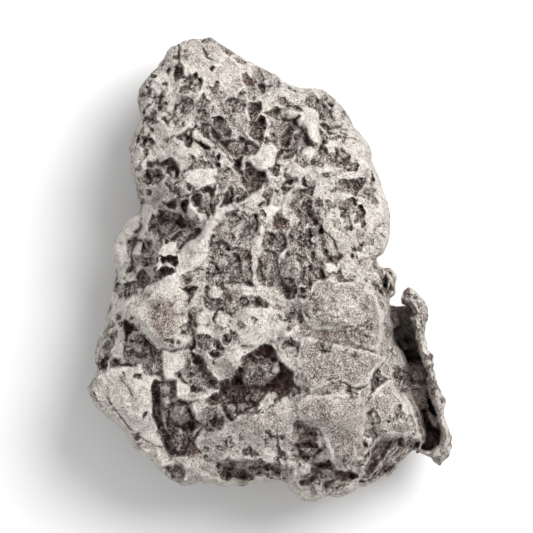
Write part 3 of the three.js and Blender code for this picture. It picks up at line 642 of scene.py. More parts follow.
BOTTOM_PITS = [
    (2.6, DARK, 0.3, "279,451 286,452 288,457 284,461 281,458"),
    (2.6, DARK, 0.6, "304,429 310,430 316,431 318,434 315,438 316,443 317,447 311,447 303,445 298,447 "
     "294,445 297,440 299,435 302,432"),
    (1.0, BROWN, 0.3, "303,424 310,426 318,428 316,431 309,429 303,428"),
    (1.6, BROWN, 0.2, "292,448 300,446 304,450 305,455 311,455 309,459 300,458 293,455"),
    (1.6, BROWN, 0.2, "217,464 222,460 232,460 244,461 254,466 256,472 249,477 240,479 230,478 "
     "222,477 217,472"),
    (1.2, BROWN, 0.2, "161,467 166,466 172,466 175,470 176,476 174,480 171,477 168,471"),
    (3.0, BLACK, 0.2, "300,480 310,476 318,475 315,480 308,485 300,485"),
    (2.0, DARK, 0.2, "313,465 317,462 330,461 334,465 326,467 319,467"),
    (2.0, DARK, 0.2, "340,470 350,472 357,477 348,482 338,480 330,484 326,490 321,492 326,482"),
    (2.0, DARK, 0.3, "376,442 384,439 396,439 403,441 400,446 390,448 384,456 378,464 372,472 "
     "366,473 363,470 366,464 372,456 372,450"),
    (1.0, BROWN, 0.4, "378,476 384,468 392,463 396,465 394,470 388,475 382,478"),
    (2.0, DARK, 0, "383,268 391,268 391,277 385,276"),
    (1.6, BLACK, 0, "379,268 386,277 391,284 393,290 390,295 386,294 385,288 382,282"),
    (1.6, DARK, 0, "392,373 397,371 403,376 406,381 403,385 398,384 394,379"),
    (1.2, BROWN, 0, "415,424 418,428 420,433 415,434"),
    (1.2, DARK, 0, "413,445 416,442 421,443 418,447"),
]
lay(pit, LOWER_PITS + BOTTOM_PITS, "pits in the lower half")

# %% [markdown]
# ## Stones, ridges, cracks and stains
#
# Rounded stones, grey or pale, sit in and between the pits. Thin pale ridges and dark cracks go over
# them, and a few rusty or grey stains come last.

# %% Stones
STONES = [  # rise in mm, tone, rust, where
    (2.0, 0.68, 0, "224,120 232,118 238,114 241,119 244,124 247,130 243,132 240,137 236,141 231,142 "
     "228,138 225,131 223,126"),
    (1.0, BROWN, 0, "237,119 243,122 247,129 240,129"),
    (1.8, 0.46, 0, "228,144 235,142 241,140 245,143 246,147 243,152 243,157 238,160 232,161 229,156 "
     "226,150"),
    (1.6, 0.48, 0, "247,144 253,145 258,150 257,153 250,155 245,154 244,150"),
    (1.6, SLATE, 0, "215,177 220,173 226,170 232,171 236,175 238,178 235,183 231,187 226,188 221,185 "
     "218,181"),
    (1.8, 0.86, 0, "234,186 238,184 243,187 245,191 241,195 237,197 234,195 233,191"),
    (1.6, 0.48, 0, "218,131 224,130 226,135 228,141 223,143 220,139"),
    (2.2, 0.88, 0, "281,112 285,109 292,109 298,112 300,114 296,118 290,120 284,119 281,116"),
    (1.4, 0.56, 0, "272,121 280,120 288,123 287,128 283,134 281,143 277,150 275,143 271,140 270,133 "
     "274,128"),
    (1.2, 0.78, 0, "276,161 283,158 285,162 282,165 277,165"),
    (3.0, 0.86, 0, "201,194 208,196 210,201 208,206 202,208 200,204"),
    (1.4, 0.6, 0, "171,172 176,171 177,176 173,178"),
    (1.2, SLATE, 0, "239,262 247,258 249,260 249,268 251,280 247,280 240,280 232,273 235,266"),
    (1.2, 0.48, 0, "226,289 238,290 240,306 236,312 228,311 224,303"),
    (1.3, 0.72, 0, "224,250 231,252 230,258 228,266 222,273 217,266 219,259"),
    (1.2, 0.84, 0, "226,239 231,237 235,243 232,246 228,245"),
    (1.2, 0.66, 0, "162,237 174,226 181,224 183,228 176,236 168,243 162,243"),
    (1.1, 0.7, 0, "178,239 186,229 193,229 190,236 183,242"),
    (1.2, 0.62, 0, "310,229 318,227 320,232 322,242 324,251 322,257 315,259 312,250 310,238"),
    (1.2, 0.62, 0, "323,233 330,238 335,246 337,255 333,257 328,252 325,244"),
    (1.2, 0.56, 0, "282,258 292,256 299,262 302,268 299,280 296,285 290,281 284,275 281,268"),
    (0.8, 0.76, 0, "293,264 300,268 299,278 295,274"),
    (1.2, BROWN, 0, "192,380 195,377 202,377 204,381 202,390 197,392 193,390"),
    (1.2, 0.66, 0, "176,374 183,370 188,375 189,381 184,382 179,378"),
    (4.2, 0.47, 0, "244,366 250,361 258,360 266,360 274,362 279,361 280,370 277,377 270,382 262,386 "
     "252,384 246,383 242,377"),
    (2.0, SLATE, 0.2, "156,384 162,381 170,383 172,388 168,395 160,396 156,390"),
    (1.6, 0.7, 0, "160,398 168,397 171,403 167,407 161,405"),
    (2.0, 0.62, 0, "171,408 176,404 184,406 190,412 189,420 183,426 176,424 170,416"),
    (1.6, 0.8, 0.1, "174,428 182,428 184,436 180,444 176,440"),
    (1.6, 0.36, 0.5, "232,388 238,384 243,388 243,394 237,397 231,395"),
    (2.0, SLATE, 0, "226,404 232,402 236,406 233,411 227,410"),
    (2.0, BROWN, 0.2, "238,403 245,402 248,406 243,410 238,409"),
    (1.8, 0.6, 0, "229,412 235,411 237,415 231,418"),
    (1.4, 0.84, 0, "303,448 309,447 311,452 307,455 304,453"),
    (2.0, 0.58, 0, "314,479 318,477 323,483 325,489 318,493 312,488 311,484"),
    (1.4, SLATE, 0, "318,468 328,469 336,472 335,479 328,481 322,476"),
    (1.2, SLATE, 0.1, "360,470 365,470 365,475 360,475"),
    (1.0, 0.6, 0, "120,362 126,357 140,359 141,362 134,365 126,366"),
    (1.0, 0.86, 0, "283,184 288,184 287,187 284,187"),
    (1.0, 0.82, 0, "256,120 258,121 257,123 255,123"),
]
lay(stone, STONES, "stones")

# %% Ridges
RIDGES = [  # half the width, rise in mm, tone, along which line
    (2.6, 0.7, PALE, "328,446 331,460 338,467 346,469 355,465 362,457 366,449"),
    (2.6, 0.7, PALE, "366,449 372,441 382,434 396,432 410,436 420,440"),
    (2.6, 0.6, PALE, "388,386 397,397 405,412 411,430"),
    (2.8, 0.8, PALE, "284,214 283,204 290,192 296,184 300,180"),
    (3.0, 0.9, PALE, "200,137 212,142 220,148 228,156 233,163"),
    (2.6, 0.9, PALE, "262,188 250,199 240,205 228,211"),
    (2.2, 0.8, PALE, "228,167 234,171 239,177"),
    (2.4, 0.9, CHALK, "244,131 250,138 256,144"),
    (1.5, 0.8, CHALK, "287,232 287,246"),
    (1.4, 0.8, CHALK, "296,130 292,138 290,144 289,150"),
    (1.2, 0.6, CHALK, "300,140 298,150 294,158"),
    (1.3, 0.8, PALE, "320,127 325,132 328,137"),
    (2.6, 1.0, CHALK, "218,403 205,420 194,434"),
    (2.6, 0.9, PALE, "207,368 213,375 220,379 230,377 239,371"),
    (1.8, 0.8, CHALK, "253,357 260,357 266,359 271,362 277,361"),
    (1.8, 0.4, PALE, "310,313 324,314 337,312"),
    (1.8, 0.8, CHALK, "381,462 376,470 371,477 362,480"),
    (1.6, 0.8, CHALK, "371,455 366,462 361,468"),
    (1.2, 0.6, ASH, "388,452 384,460 380,468"),
    (1.2, 0.6, ASH, "398,448 392,455 388,462"),
    (1.3, 0.6, CHALK, "184,80 188,81 187,85"),
    (1.5, 0.7, CHALK, "190,88 194,84 196,80"),
    (1.2, 0.6, CHALK, "386,272 389,280 388,288"),
    (1.2, 0.5, ASH, "170,238 180,230 190,228"),
    (1.2, 0.5, ASH, "174,243 184,236 194,232"),
    (1.2, 0.6, ASH, "243,214 249,220 254,227"),
    (1.2, 0.6, ASH, "303,198 299,206 303,214"),
    (1.2, 0.5, ASH, "213,240 217,237 215,242"),
    (3.0, 0.6, PALE, "405,397 411,410 416,424 418,438"),
    (2.4, 0.5, PALE, "250,411 262,406 272,402"),
]
lay(ridge, RIDGES, "ridges")

# %% Cracks
CRACKS = [  # half the width, depth in mm, along which line
    (1.3, 0.7, "203,49 205,52 206,55 208,58 212,60"),
    (1.2, 0.6, "254,66 260,69"),
    (1.2, 0.6, "262,70 270,73"),
    (1.5, 0.8, "184,101 179,104 176,107 174,112 173,118 168,124"),
    (1.2, 0.7, "146,119 144,124 144,130"),
    (1.2, 0.7, "149,135 147,139 145,143 144,147"),
    (1.6, 1.2, "198,128 203,131 205,136 210,140 216,144 221,149 228,158 232,163"),
    (1.4, 1.0, "228,142 236,141 243,138"),
    (1.3, 1.0, "246,144 243,150 244,156 249,156 257,154"),
    (1.2, 0.7, "286,106 291,106 297,108 302,111"),
    (1.4, 0.8, "285,85 291,89 297,91 301,93 306,92 311,91"),
    (1.5, 0.9, "330,130 336,128 341,127"),
    (1.3, 0.8, "341,130 349,131"),
    (1.3, 0.8, "330,134 337,135"),
    (1.3, 0.8, "341,133 346,136"),
    (1.4, 0.7, "331,139 340,138 350,139 364,141"),
    (1.4, 0.8, "374,231 377,227 380,226 383,223"),
    (1.2, 0.6, "380,234 384,237"),
    (1.8, 1.6, "160,203 170,201 180,198 190,195 200,191 206,188"),
    (1.6, 1.0, "177,252 183,245 190,240 196,237"),
    (1.5, 1.0, "208,278 215,275 220,272 227,268 236,260"),
    (1.5, 1.0, "222,284 232,282 241,283 250,282 252,286"),
    (1.4, 1.0, "208,262 214,263 219,271"),
    (1.4, 1.0, "264,250 272,251 282,251"),
    (1.6, 1.2, "309,230 310,240 312,250 312,262"),
    (1.6, 1.2, "319,228 321,236 324,246 326,254"),
    (1.5, 1.0, "300,260 305,266 304,272 301,281"),
    (1.6, 0.6, "325,275 332,273 340,274 343,279 350,281"),
    (1.4, 1.0, "206,294 210,298 217,300 223,299"),
    (1.8, 1.2, "191,318 190,326 193,333 194,345 191,350"),
    (1.6, 1.0, "180,328 186,325 190,322"),
    (1.3, 0.8, "183,349 190,347"),
    (1.3, 0.9, "213,357 214,364"),
    (1.4, 0.9, "131,248 131,260"),
    (1.4, 1.0, "133,268 139,276 140,284"),
    (1.2, 0.8, "129,268 127,276 123,280"),
    (1.4, 0.8, "141,205 142,230 138,232 131,255"),
    (2.0, 1.2, "140,334 148,341 155,347 160,351"),
    (1.3, 0.8, "153,356 156,364 159,372"),
    (1.2, 0.5, "107,398 115,409 122,418 128,426 131,430"),
    (1.1, 0.5, "124,431 132,434 140,437 148,442 162,448"),
    (1.2, 0.5, "93,393 97,402 101,408"),
    (1.1, 0.4, "120,377 125,384 130,391 134,398"),
    (1.5, 1.0, "180,376 183,381 188,383 190,379"),
    (1.3, 0.8, "341,328 350,326.5 357,325 361,326 368,321"),
    (1.1, 0.5, "330,317 338,317"),
    (1.0, 0.4, "334,301 336,310"),
    (1.4, 0.8, "301,309 305,313 308,316 311,319"),
    (1.2, 0.7, "280,318 288,320"),
    (1.1, 0.6, "327,379 332,378 337,376"),
    (1.1, 0.5, "343,352 348,347 352,343"),
    (1.0, 0.4, "366,336 369,331"),
    (1.5, 0.9, "277,430 277,440 278,450 279,460 281,470 285,478"),
    (1.5, 1.0, "375,260 376,266 378,273 381,280"),
    (1.2, 0.7, "336,380 343,381 350,386 360,388 367,383"),
    (1.6, 0.8, "408,397 414,406 418,416 421,428 423,440"),
    (1.4, 0.8, "361,482 370,479 376,473 380,465"),
    (1.3, 0.7, "362,440 368,449 364,456 358,464"),
    (1.6, 1.0, "411,294 415,297 417,301 419,307"),
    (1.3, 0.8, "417,310 420,316 421,322 423,328"),
]
lay(crack, CRACKS, "cracks")

# %% Stains
STAINS = [  # tone, rust, softness, where
    (0.62, 0.5, 6, "363,170 368,170 368,178 363,178"),
    (0.56, 0.15, 8, "150,303 160,297 170,300 176,306 180,313 176,330 168,342 158,336 152,322 149,312"),
    (0.5, 0.2, 5, "133,441 141,441 141,450 133,450"),
    (0.34, 0.7, 5, "256,348 264,345 272,347 275,353 266,352 257,353"),
    (0.36, 0.6, 8, "266,378 290,374 292,390 276,394"),
    (0.6, 0.3, 5, "288,323 294,323 294,329 288,329"),
    (0.7, 0, 14, "318,292 345,290 365,300 368,320 345,324 322,318"),
    (0.66, 0, 12, "380,392 396,398 404,420 398,432 382,425"),
    (0.66, 0, 14, "330,400 366,398 372,420 356,430 332,424"),
    (0.57, 0, 6, "158,182 176,178 188,172 190,192 176,198 160,203"),
    (0.6, 0.1, 5, "270,427 277,427 277,437 270,437"),
    (0.6, 0, 6, "245,411 256,412 256,422 246,421"),
    (0.45, 0.2, 6, "390,307 400,309 400,330 392,328"),
]
lay(stain, STAINS, "stains")

# %% Paler and darker stretches
# Some stretches of the stone are paler than others, and one a little darker, whatever pits and plates lie
# on them.
# The first, on the left flank, which faces away from the lamp, is painted light
STRETCHES_AND_PAINTED_FILL = [  # tone added, softness, where
    # painted light: the left flank faces away from the lamp, and is made paler to stand in for light that
    # it misses
    (0.12, 24, "112,210 150,205 168,230 165,270 135,296 112,330 98,350"),
    (0.09, 24, "150,150 200,150 228,185 222,230 175,240 150,225"),
    (0.1, 30, "225,400 292,394 300,440 296,484 240,484 222,440"),
    (0.06, 20, "338,185 385,185 388,245 345,245"),
    (0.05, 24, "185,296 245,296 248,345 235,392 185,392"),
    (0.05, 20, "92,374 138,368 150,385 152,420 164,460 130,445 95,405"),
    (0.05, 20, "300,460 400,450 390,480 340,498 300,498"),
    (-0.02, 16, "308,290 380,290 386,350 300,350"),
]
lay(shift, STRETCHES_AND_PAINTED_FILL, "paler or darker stretches")

# %% [markdown]
# ## Colours of the fin and its slot
#
# The slot is dark and rusty inside, with a few lighter blocks. The fin keeps the pale crust, with a
# few dark nodules on its crest. The leaning inner face at its tip is painted dark, as shade.

# %% Colour the slot and the fin
SLOT = (
    "390,304 398,305 402,306 411,304 412,310 412,322 415,333 417,341 421,354 424,366 427,373 "
    "428,388 430,396 433,402 438,418 440,426 442,434 442,440 438,446 434,450 431,452 422,449.5 "
    "426.4,443 424,430 422,417 418,405 414,395 409,384 409,366 405.6,358 403,350 394,345 392,330 "
    "389,318"
)
SLOT_BLOCKS = [
    (0.62, 0.4, 2, "410,367 420,365 425,376 425,392 430,408 418,405 409,385"),
    (0.64, 0.1, 2, "425,411 431,411 436,417 440,424 438,430 433,426 428,418"),
    (0.64, 0.3, 2, "410,383 427,382 427,387 411,388"),
]
FIN_MARKS_AND_SHADE = [
    # painted shade: this first mark is the fin's leaning inner face at its tip, which lies in shadow, made
    # dark; the others are dark nodules on the crest
    (0.8, 0.43, 0, "402,306 404,292 408,287 411,296 410,306"),
    (0.8, 0.49, 0, "424,353 432,354 432,361 425,361"),
    (0.8, 0.49, 0, "427,363 433,363 433,369 427,369"),
    (0.8, 0.49, 0, "429,388 436,388 436,395 430,394"),
    (0.8, 0.56, 0, "441,397 447,398 446,403 441,403"),
]
lay(stain, [(0.5, 0.4, 1.6, SLOT)], "slot")
lay(stain, SLOT_BLOCKS, "blocks in the slot")
lay(pit, FIN_MARKS_AND_SHADE, "marks on the fin")

# %% [markdown]
# ## Broken texture
#
# Between the named features the crust is chipped, and the bare stone is made of small plates that
# overlap like shingles, each with its own height and slant. Both come from seeded cells, because
# hundreds of them by hand would say no more. The shingles follow the grain of the stone, which runs
# steeply down through the middle, and rises to the right below the neck and at the bottom right.

# %% Chips where the crust is broken
CHIPS = [(14, 0.5, 0.8, 71), (7, 0.45, 0.55, 72)]  # size, share, depth, seed
CHIP_TONE = 0.58
FLAKE_GAP = 1.1  # steps, between neighbouring flakes

crust_rough = rough.copy()
for size, share_open, depth, seed in CHIPS:
    value, border, slant = flakes(wobbled_x, wobbled_y, size, seed)
    opened = ease(border / FLAKE_GAP) * (value < share_open * crust_rough)
    relief -= depth * opened * (0.6 + 0.4 * value / share_open)
    relief += 0.1 * slant * opened
    tone = mix(tone, np.minimum(tone, CHIP_TONE), 0.85 * opened)
    rough = np.maximum(rough, opened)
print("chips of", len(CHIPS), "sizes")

# %% Shingles along the grain
SHINGLES = [(12, 0.5, 0.06, 0.08), (6.5, 0.3, 0.09, 0.08)]  # size, step in mm, lean, contrast
GRAINS = [  # angle from the x axis in degrees, length over width, softness, where
    (68, 2.3, 14, "205,195 300,190 350,230 350,290 300,300 215,290 235,240"),
    (68, 2.6, 8, "380,300 402,345 415,390 428,445 408,430 392,380 376,345"),
    (-42, 2, 14, "140,205 200,200 215,225 190,250 160,262 135,262"),
    (-42, 2, 10, "356,450 425,434 425,452 396,480 350,490"),
    (104, 2.6, 12, "112,215 145,225 150,285 125,330 100,370 92,360"),
    (-65, 2, 12, "170,90 215,90 220,140 180,150"),
]


def shingled(along, across, seed):
    """Height in millimetres and shade of overlapping plates."""
    heights = 0.1 * lumps(along / 3, across, 1.5, seed + 9)
    shades = 0.5 * heights
    for number, (size, step, lean, contrast) in enumerate(SHINGLES):
        value, border, slant = flakes(along, across, size, seed + number)
        gap = 1 - ease(border / FLAKE_GAP)
        heights = heights + step * (value - 0.5 - 0.5 * gap) + lean * slant
        shades = shades + contrast * (value - 0.5 - 0.6 * gap)
    return np.array([heights, shades])


plates = shingled(wobbled_x, wobbled_y, 101)
for number, (degrees, length, softness, outline) in enumerate(GRAINS):
    window, away = outline_distance(outline, softness)
    angle = np.radians(degrees)
    x, y = wobbled_x[window], wobbled_y[window]
    along = (x * np.cos(angle) + y * np.sin(angle)) / length
    across = y * np.cos(angle) - x * np.sin(angle)
    share = ease(0.5 - away / softness)
    both = (np.s_[:], *window)
    plates[both] = mix(plates[both], shingled(along, across, 120 + 10 * number), share)
relief += rough * plates[0]
tone += rough * plates[1]
print(len(GRAINS), "stretches with a grain of their own")

# %% Swells, thin layers and pocks in the crust
# The crust is swollen at several sizes, layered like old paint, and pocked where it is rough
LAYER_HEIGHT = 0.3  # mm
POCK_DEPTH = 0.3  # mm, and the same in tone

crusted = 1 - rough
relief += 0.35 * lumps(grid_x, grid_y, 24, 51) + 0.2 * lumps(grid_x, grid_y, 11, 52)
relief += 0.16 * lumps(wobbled_x, wobbled_y, 5, 53) + 0.07 * lumps(grid_x, grid_y, 2.2, 54)
layers = 2.6 * lumps(wobbled_x, wobbled_y, 24, 55) + 0.9 * lumps(wobbled_x, wobbled_y, 8, 56)
level = np.floor(layers)
relief += crusted * LAYER_HEIGHT * (level + ease((layers - level - 0.8) / 0.2))
pocks = ease((lumps(wobbled_x, wobbled_y, 2.6, 57) - 0.5) / 0.2) * ease(rough / 0.4)
relief -= POCK_DEPTH * pocks * crusted
tone -= POCK_DEPTH * pocks * crusted
tone += crusted * (0.06 * lumps(grid_x, grid_y, 12, 58) + 0.05 * lumps(grid_x, grid_y, 4, 59))
print("pocks in", round(100 * float((pocks > 0.5).mean()), 1), "percent of the map")

# %% Pale edges and dark crevices, partly wear and partly painted light and shade
# High spots are made paler and low ones darker, at the width of a rim, a plate and a pit: partly wear and
# dirt, partly painted highlight on edges and painted shade in hollows
WEAR_AND_PAINTED_SHADING = [  # width in steps, lowest and highest in mm, tone for a millimetre
    (1.1, -0.25, 0.15, 0.45), (3.2, -0.8, 0.4, 0.1), (9, -2.4, 1.2, 0.02),
]

for width, lowest, highest, strength in WEAR_AND_PAINTED_SHADING:
    tone += strength * np.clip(relief - blurred(relief, width), lowest, highest)
tone = np.clip(tone, 0, 1)
print("relief from", relief.min().round(1), "to", relief.max().round(1), "mm")

# %% [markdown]
# ## The height of the face
#
# The plain face of the solid rises from its waist to a few shoulders. The same heights are worked
# out here for every cell of the map, and the relief is laid on them. On a steep flank the relief is
# stretched, so that a pit there is as deep, measured square to the surface, as one on the top.

# %% The plain face, as the solid has it
HEIGHT = 46  # mm
WAIST_HEIGHT = 18  # mm, where the lump is widest
WAIST_WANDER = 4  # mm up or down
FLANK_EXPONENT = 0.58  # 1 would be as round as a ball
TOP_BLEND = 22  # steps
BODY_OUTLINE = points_of(
    "180,39 185,37 190,36 200,35.5 210,36.5 214,38 217,41 226,46 236,52 246,58 256,64 266,69.5 "
    "275,74 284,80 292,83 302,87 312,89 318,89 328,94 337,102 345,112 352,122 361,134 365,140 "
    "369,146 371,153 371,159 376,170 380,180 383,190 388,203 390,217 390,232 387.5,243 384,253 "
    "377,258 380,266 383,268 388,267.5 392,269.5 396,273 397,277 396,287 395,293 393,296 390.5,297 "
    "390,303 390,318 394,325 392,333 393,343 399,349 403,353 408,361 410,370 409,378 410,388 "
    "413,395 417,404 421,412 423,420 425,428 427,437 425,443 422,446 421,451 414,451.5 406,459 "
    "398,465 397,469 391,476 380,481 367,486.5 360,487 352,494 341,498.5 335,498.5 329,496.5 "
    "318,501 312,502.5 300,501 295,493 291,490 287,482 276,480.5 265,482.5 257,483 248,487.5 "
    "243,487.5 232,485 223,489 213,484.5 200,483 193,483 182,487 175,483 164,476.5 157,467 153,461 "
    "144,456.5 134,449.5 129,441 124,433 115,425 105,416.5 95,407 87,397 85,387 88,380 93,372 "
    "95,369 94,361 96,350 98.5,340 101,330 105,320 108,310 110,298 113,285 116,272 117,267 "
    "113.5,259 113,250 115.5,239 121,230 127,221 133,216 139,211 141,205 138,195 134,185 131,180 "
    "128,170 127,160 128.5,150 131,140 134,130 138,120 139.5,112 137.5,100 139.5,90 145,80 151,70 "
    "162,60 165,55 167,50 175,43"
)
BODY_MIDDLE = np.array([268, 280])
TOP_HEIGHTS = [  # x, y, and share of the full height
    (185, 55, 0.74), (235, 85, 0.78), (300, 105, 0.78), (155, 115, 0.74), (200, 125, 0.83),
    (255, 130, 0.86), (330, 130, 0.8), (150, 170, 0.78), (190, 182, 0.89), (250, 180, 0.87),
    (305, 165, 0.89), (360, 170, 0.8), (370, 225, 0.8), (325, 215, 0.89), (265, 245, 0.9),
    (215, 235, 0.87), (170, 235, 0.78), (128, 245, 0.6), (128, 280, 0.64), (165, 280, 0.84),
    (215, 290, 0.86), (265, 300, 0.88), (310, 280, 0.95), (350, 305, 1), (380, 300, 0.85),
    (150, 320, 0.88), (110, 340, 0.7), (135, 350, 0.74), (195, 330, 0.83), (250, 335, 0.9),
    (310, 350, 0.97), (360, 355, 0.95), (395, 370, 0.76), (170, 370, 0.82), (105, 390, 0.74),
    (140, 400, 0.8), (205, 390, 0.83), (265, 410, 0.9), (330, 400, 0.97), (385, 410, 0.86),
    (135, 440, 0.7), (185, 450, 0.7), (230, 450, 0.82), (290, 450, 0.88), (350, 445, 0.88),
    (400, 450, 0.7), (225, 480, 0.66), (320, 485, 0.72), (370, 475, 0.7),
]


def reach_table(outline, count=2880):
    """How far the outline lies from the middle, in steps, for evenly spaced directions."""
    angles = np.linspace(-np.pi, np.pi, count)
    ways = np.stack([np.cos(angles), -np.sin(angles)], axis=1)
    furthest = np.zeros(count)
    points = outline - BODY_MIDDLE
    for start, end in zip(points, np.roll(points, -1, axis=0)):
        side = end - start
        turn = ways[:, 0] * side[1] - ways[:, 1] * side[0]
        turn = np.where(np.abs(turn) < 1e-9, 1e-9, turn)
        distance = (start[0] * side[1] - start[1] * side[0]) / turn
        along = (start[0] * ways[:, 1] - start[1] * ways[:, 0]) / turn
        hit = (along >= 0) & (along <= 1)
        furthest = np.where(hit, np.maximum(furthest, distance), furthest)
    return angles, furthest


HASH_STRIDES = (127.1, 311.7, 74.7)
HASH_SCALE = 43758.5453


def corner_value(i, j, k):
    """A steady random value from 0 to 1 for each corner of a lattice in space."""
    wave = np.sin(i * HASH_STRIDES[0] + j * HASH_STRIDES[1] + k * HASH_STRIDES[2]) * HASH_SCALE
    return wave - np.floor(wave)


def waist_height(angle):
    """How high the widest level lies, which wanders round the stone."""
    x, y = 2 * np.cos(angle), 2 * np.sin(angle)
    i, j = np.floor(x), np.floor(y)
    across, up = ease(x - i), ease(y - j)
    lower = mix(corner_value(i, j, 0), corner_value(i + 1, j, 0), across)
    upper = mix(corner_value(i, j + 1, 0), corner_value(i + 1, j + 1, 0), across)
    return WAIST_HEIGHT + WAIST_WANDER * (2 * mix(lower, upper, up) - 1)


crest = np.zeros(grid_x.shape)
weights = np.zeros(grid_x.shape)
for spot_x, spot_y, height_share in TOP_HEIGHTS:
    away = ((grid_x - spot_x) ** 2 + (grid_y - spot_y) ** 2) / TOP_BLEND**2
    weight = np.exp(-away) + 1e-6
    crest += weight * height_share * HEIGHT
    weights += weight
crest /= weights

body_reach = reach_table(BODY_OUTLINE)
out_x, out_y = grid_x - BODY_MIDDLE[0], BODY_MIDDLE[1] - grid_y
out_angle = np.arctan2(out_y, out_x)
out_share = np.hypot(out_x, out_y) / np.interp(out_angle, *body_reach)
latitude = np.arccos(np.clip(out_share, 0, 1) ** (1 / FLANK_EXPONENT))
waist = waist_height(out_angle)
body_top = waist + (crest - waist) * np.sin(latitude) ** FLANK_EXPONENT
print("the plain face reaches", body_top.max().round(1), "mm")

# %% [markdown]
# ## The fin, the slot and the shelf under them
#
# Beside the lump, the map goes down to a dark shelf, and the fin and the broken blocks stand on it.

# %% Heights beside the lump
FIN_OUTLINE = (
    "408,286 412,289 420,297 427,305 430,315 427,325 426,337 426,348 432,355 433,366 436,375 437,385 "
    "441,393 446,401 445,408 443,416 447,424 450,430 451,448 447,458 441,467 434,462 432,459 "
    "422,454 420,450 431,452 436,449 441,446 442,440 442,434 440,426 438,418 433,402 430,396 "
    "428,388 427,373 424,366 421,354 417,341 415,333 412,322 412,310 411,304 405,305 402,304 402,297"
)
SLOT_OUTLINE = (
    "388,304 398,305 402,306 411,304 414,310 414,326 418,341 423,354 429,368 430,386 434,400 440,418 "
    "444,430 444,444 438,451 431,454 418,453 414,430 405,400 400,370 392,350 386,330"
)
BLOCK_OUTLINES = [  # height of its top in mm, where
    (23, "410,364 420,363 427,368 427,383 411,382"),
    (23.8, "409,383 427,382 428,391 410,391"),
    (23, "411,390 427,390 429,400 431,409 422,411 416,402"),
    (22, "425,411 431,411 436,417 440,424 438,430 433,426 428,418"),
    (19, "389,306 400,307 401,327 394,330"),
    (18, "401,342 409,343 410,351 403,351"),
    (15, "424,432 440,432 440,446 430,450"),
]
FIN_TOP, FIN_DROP, FIN_HALF_LENGTH = 31, 7, 17  # mm
FIN_MIDDLE_Y = 365  # on the drawing
FIN_ROUNDING, FIN_EDGE = 1.8, 4  # mm down at its edge, over this many steps
BLOCK_EDGE = 3  # steps
SLOT_FLOOR = 11  # mm
SIDE_THICKNESS = 1.2  # mm, at the waist

fin_window, fin_away = outline_distance(FIN_OUTLINE, 20)
slot_window, slot_away = outline_distance(SLOT_OUTLINE, 20)
in_body = out_share < 1
in_fin = np.zeros(grid_x.shape, bool)
in_slot = np.zeros(grid_x.shape, bool)
in_fin[fin_window] = fin_away < 0
in_slot[slot_window] = slot_away < 0
inside = in_body | in_fin | in_slot

beside = np.full(grid_x.shape, float(SLOT_FLOOR))
for top, outline in BLOCK_OUTLINES:
    window, away = outline_distance(outline)
    block = mix(SLOT_FLOOR, top, ease(0.5 - away / BLOCK_EDGE))
    beside[window] = np.maximum(beside[window], block)
from_middle = (grid_y[fin_window] - FIN_MIDDLE_Y) * STEP / FIN_HALF_LENGTH
fin_height = FIN_TOP - FIN_DROP * from_middle**2 - FIN_ROUNDING * (1 - ease(-fin_away / FIN_EDGE))
beside[fin_window] = np.where(fin_away < 0, fin_height, beside[fin_window])
print("the fin reaches", fin_height[fin_away < 0].max().round(1), "mm")

# %% Lay the relief on the heights
STEEPEST_STRETCH = 2.2
WAIST_BAND = 0.03  # of the way in from the outline
WAIST_RELIEF = 0.25  # of the relief is left at the outline
BESIDE_RELIEF = 0.6  # and on the fin and in the slot

cell = STEP / CELLS_PER_STEP
slope_y, slope_x = np.gradient(blurred(body_top, 2), cell)
stretch = np.minimum(np.sqrt(1 + slope_x**2 + slope_y**2), STEEPEST_STRETCH)
inward = WAIST_RELIEF + (1 - WAIST_RELIEF) * ease((1 - out_share) / WAIST_BAND)
top = np.where(in_body, body_top + relief * stretch * inward, beside + BESIDE_RELIEF * relief)
print("heights from", top[inside].min().round(1), "to", top[inside].max().round(1), "mm")

# %% [markdown]
# ## The stone's mesh
#
# The map becomes a net of small faces. Its back is the underside of the plain solid, which is felt
# out from below with rays, so the stone still lies on the same flat patch. The closed body is then
# remeshed into even cells, so that steep walls get as many faces as level ground, and the level
# ground is drawn back onto the map, which is finer than the cells.

# %% Feel out the underside of the solid
METRES_TO_MM = 1000
RAY_SPACING = 4  # cells of the map
RAY_START = -1.0  # m, well below the stone
RIM_SHARE = 0.9  # from here outwards the underside stays below the waist

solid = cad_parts["meteorite"]


def underside_at(x, y):
    """Height in millimetres of the solid's underside above a point, or NaN past its edge."""
    start = Vector((x / METRES_TO_MM, y / METRES_TO_MM, RAY_START))
    hit, place, _, _ = solid.ray_cast(start, Vector((0, 0, 1)))
    return place.z * METRES_TO_MM if hit else np.nan


coarse_x = (columns[::RAY_SPACING] - GRID_CENTRE[0]) * STEP
coarse_y = (GRID_CENTRE[1] - rows[::RAY_SPACING]) * STEP
felt = np.array([[underside_at(x, y) for x in coarse_x] for y in coarse_y])


def sampled(layer, x, y, spacing=1):
    """A layer of the map at drawing points, blended between its cells."""
    column = np.clip((x - MAP_LEFT) * CELLS_PER_STEP / spacing, 0, layer.shape[1] - 1.001)
    row = np.clip((y - MAP_TOP) * CELLS_PER_STEP / spacing, 0, layer.shape[0] - 1.001)
    i, j = column.astype(int), row.astype(int)
    across, down = column - i, row - j
    upper = mix(layer[j, i], layer[j, i + 1], across)
    lower = mix(layer[j + 1, i], layer[j + 1, i + 1], across)
    return mix(upper, lower, down)


bottom = sampled(felt, grid_x, grid_y, RAY_SPACING)
bottom = np.where(np.isnan(bottom), top - SIDE_THICKNESS, bottom)
edge = in_body & (out_share > RIM_SHARE)
bottom = np.where(edge, np.minimum(bottom, waist - SIDE_THICKNESS), bottom)
bottom = np.minimum(bottom, top - SIDE_THICKNESS)
print("the underside starts at", np.nanmin(felt).round(3), "mm")


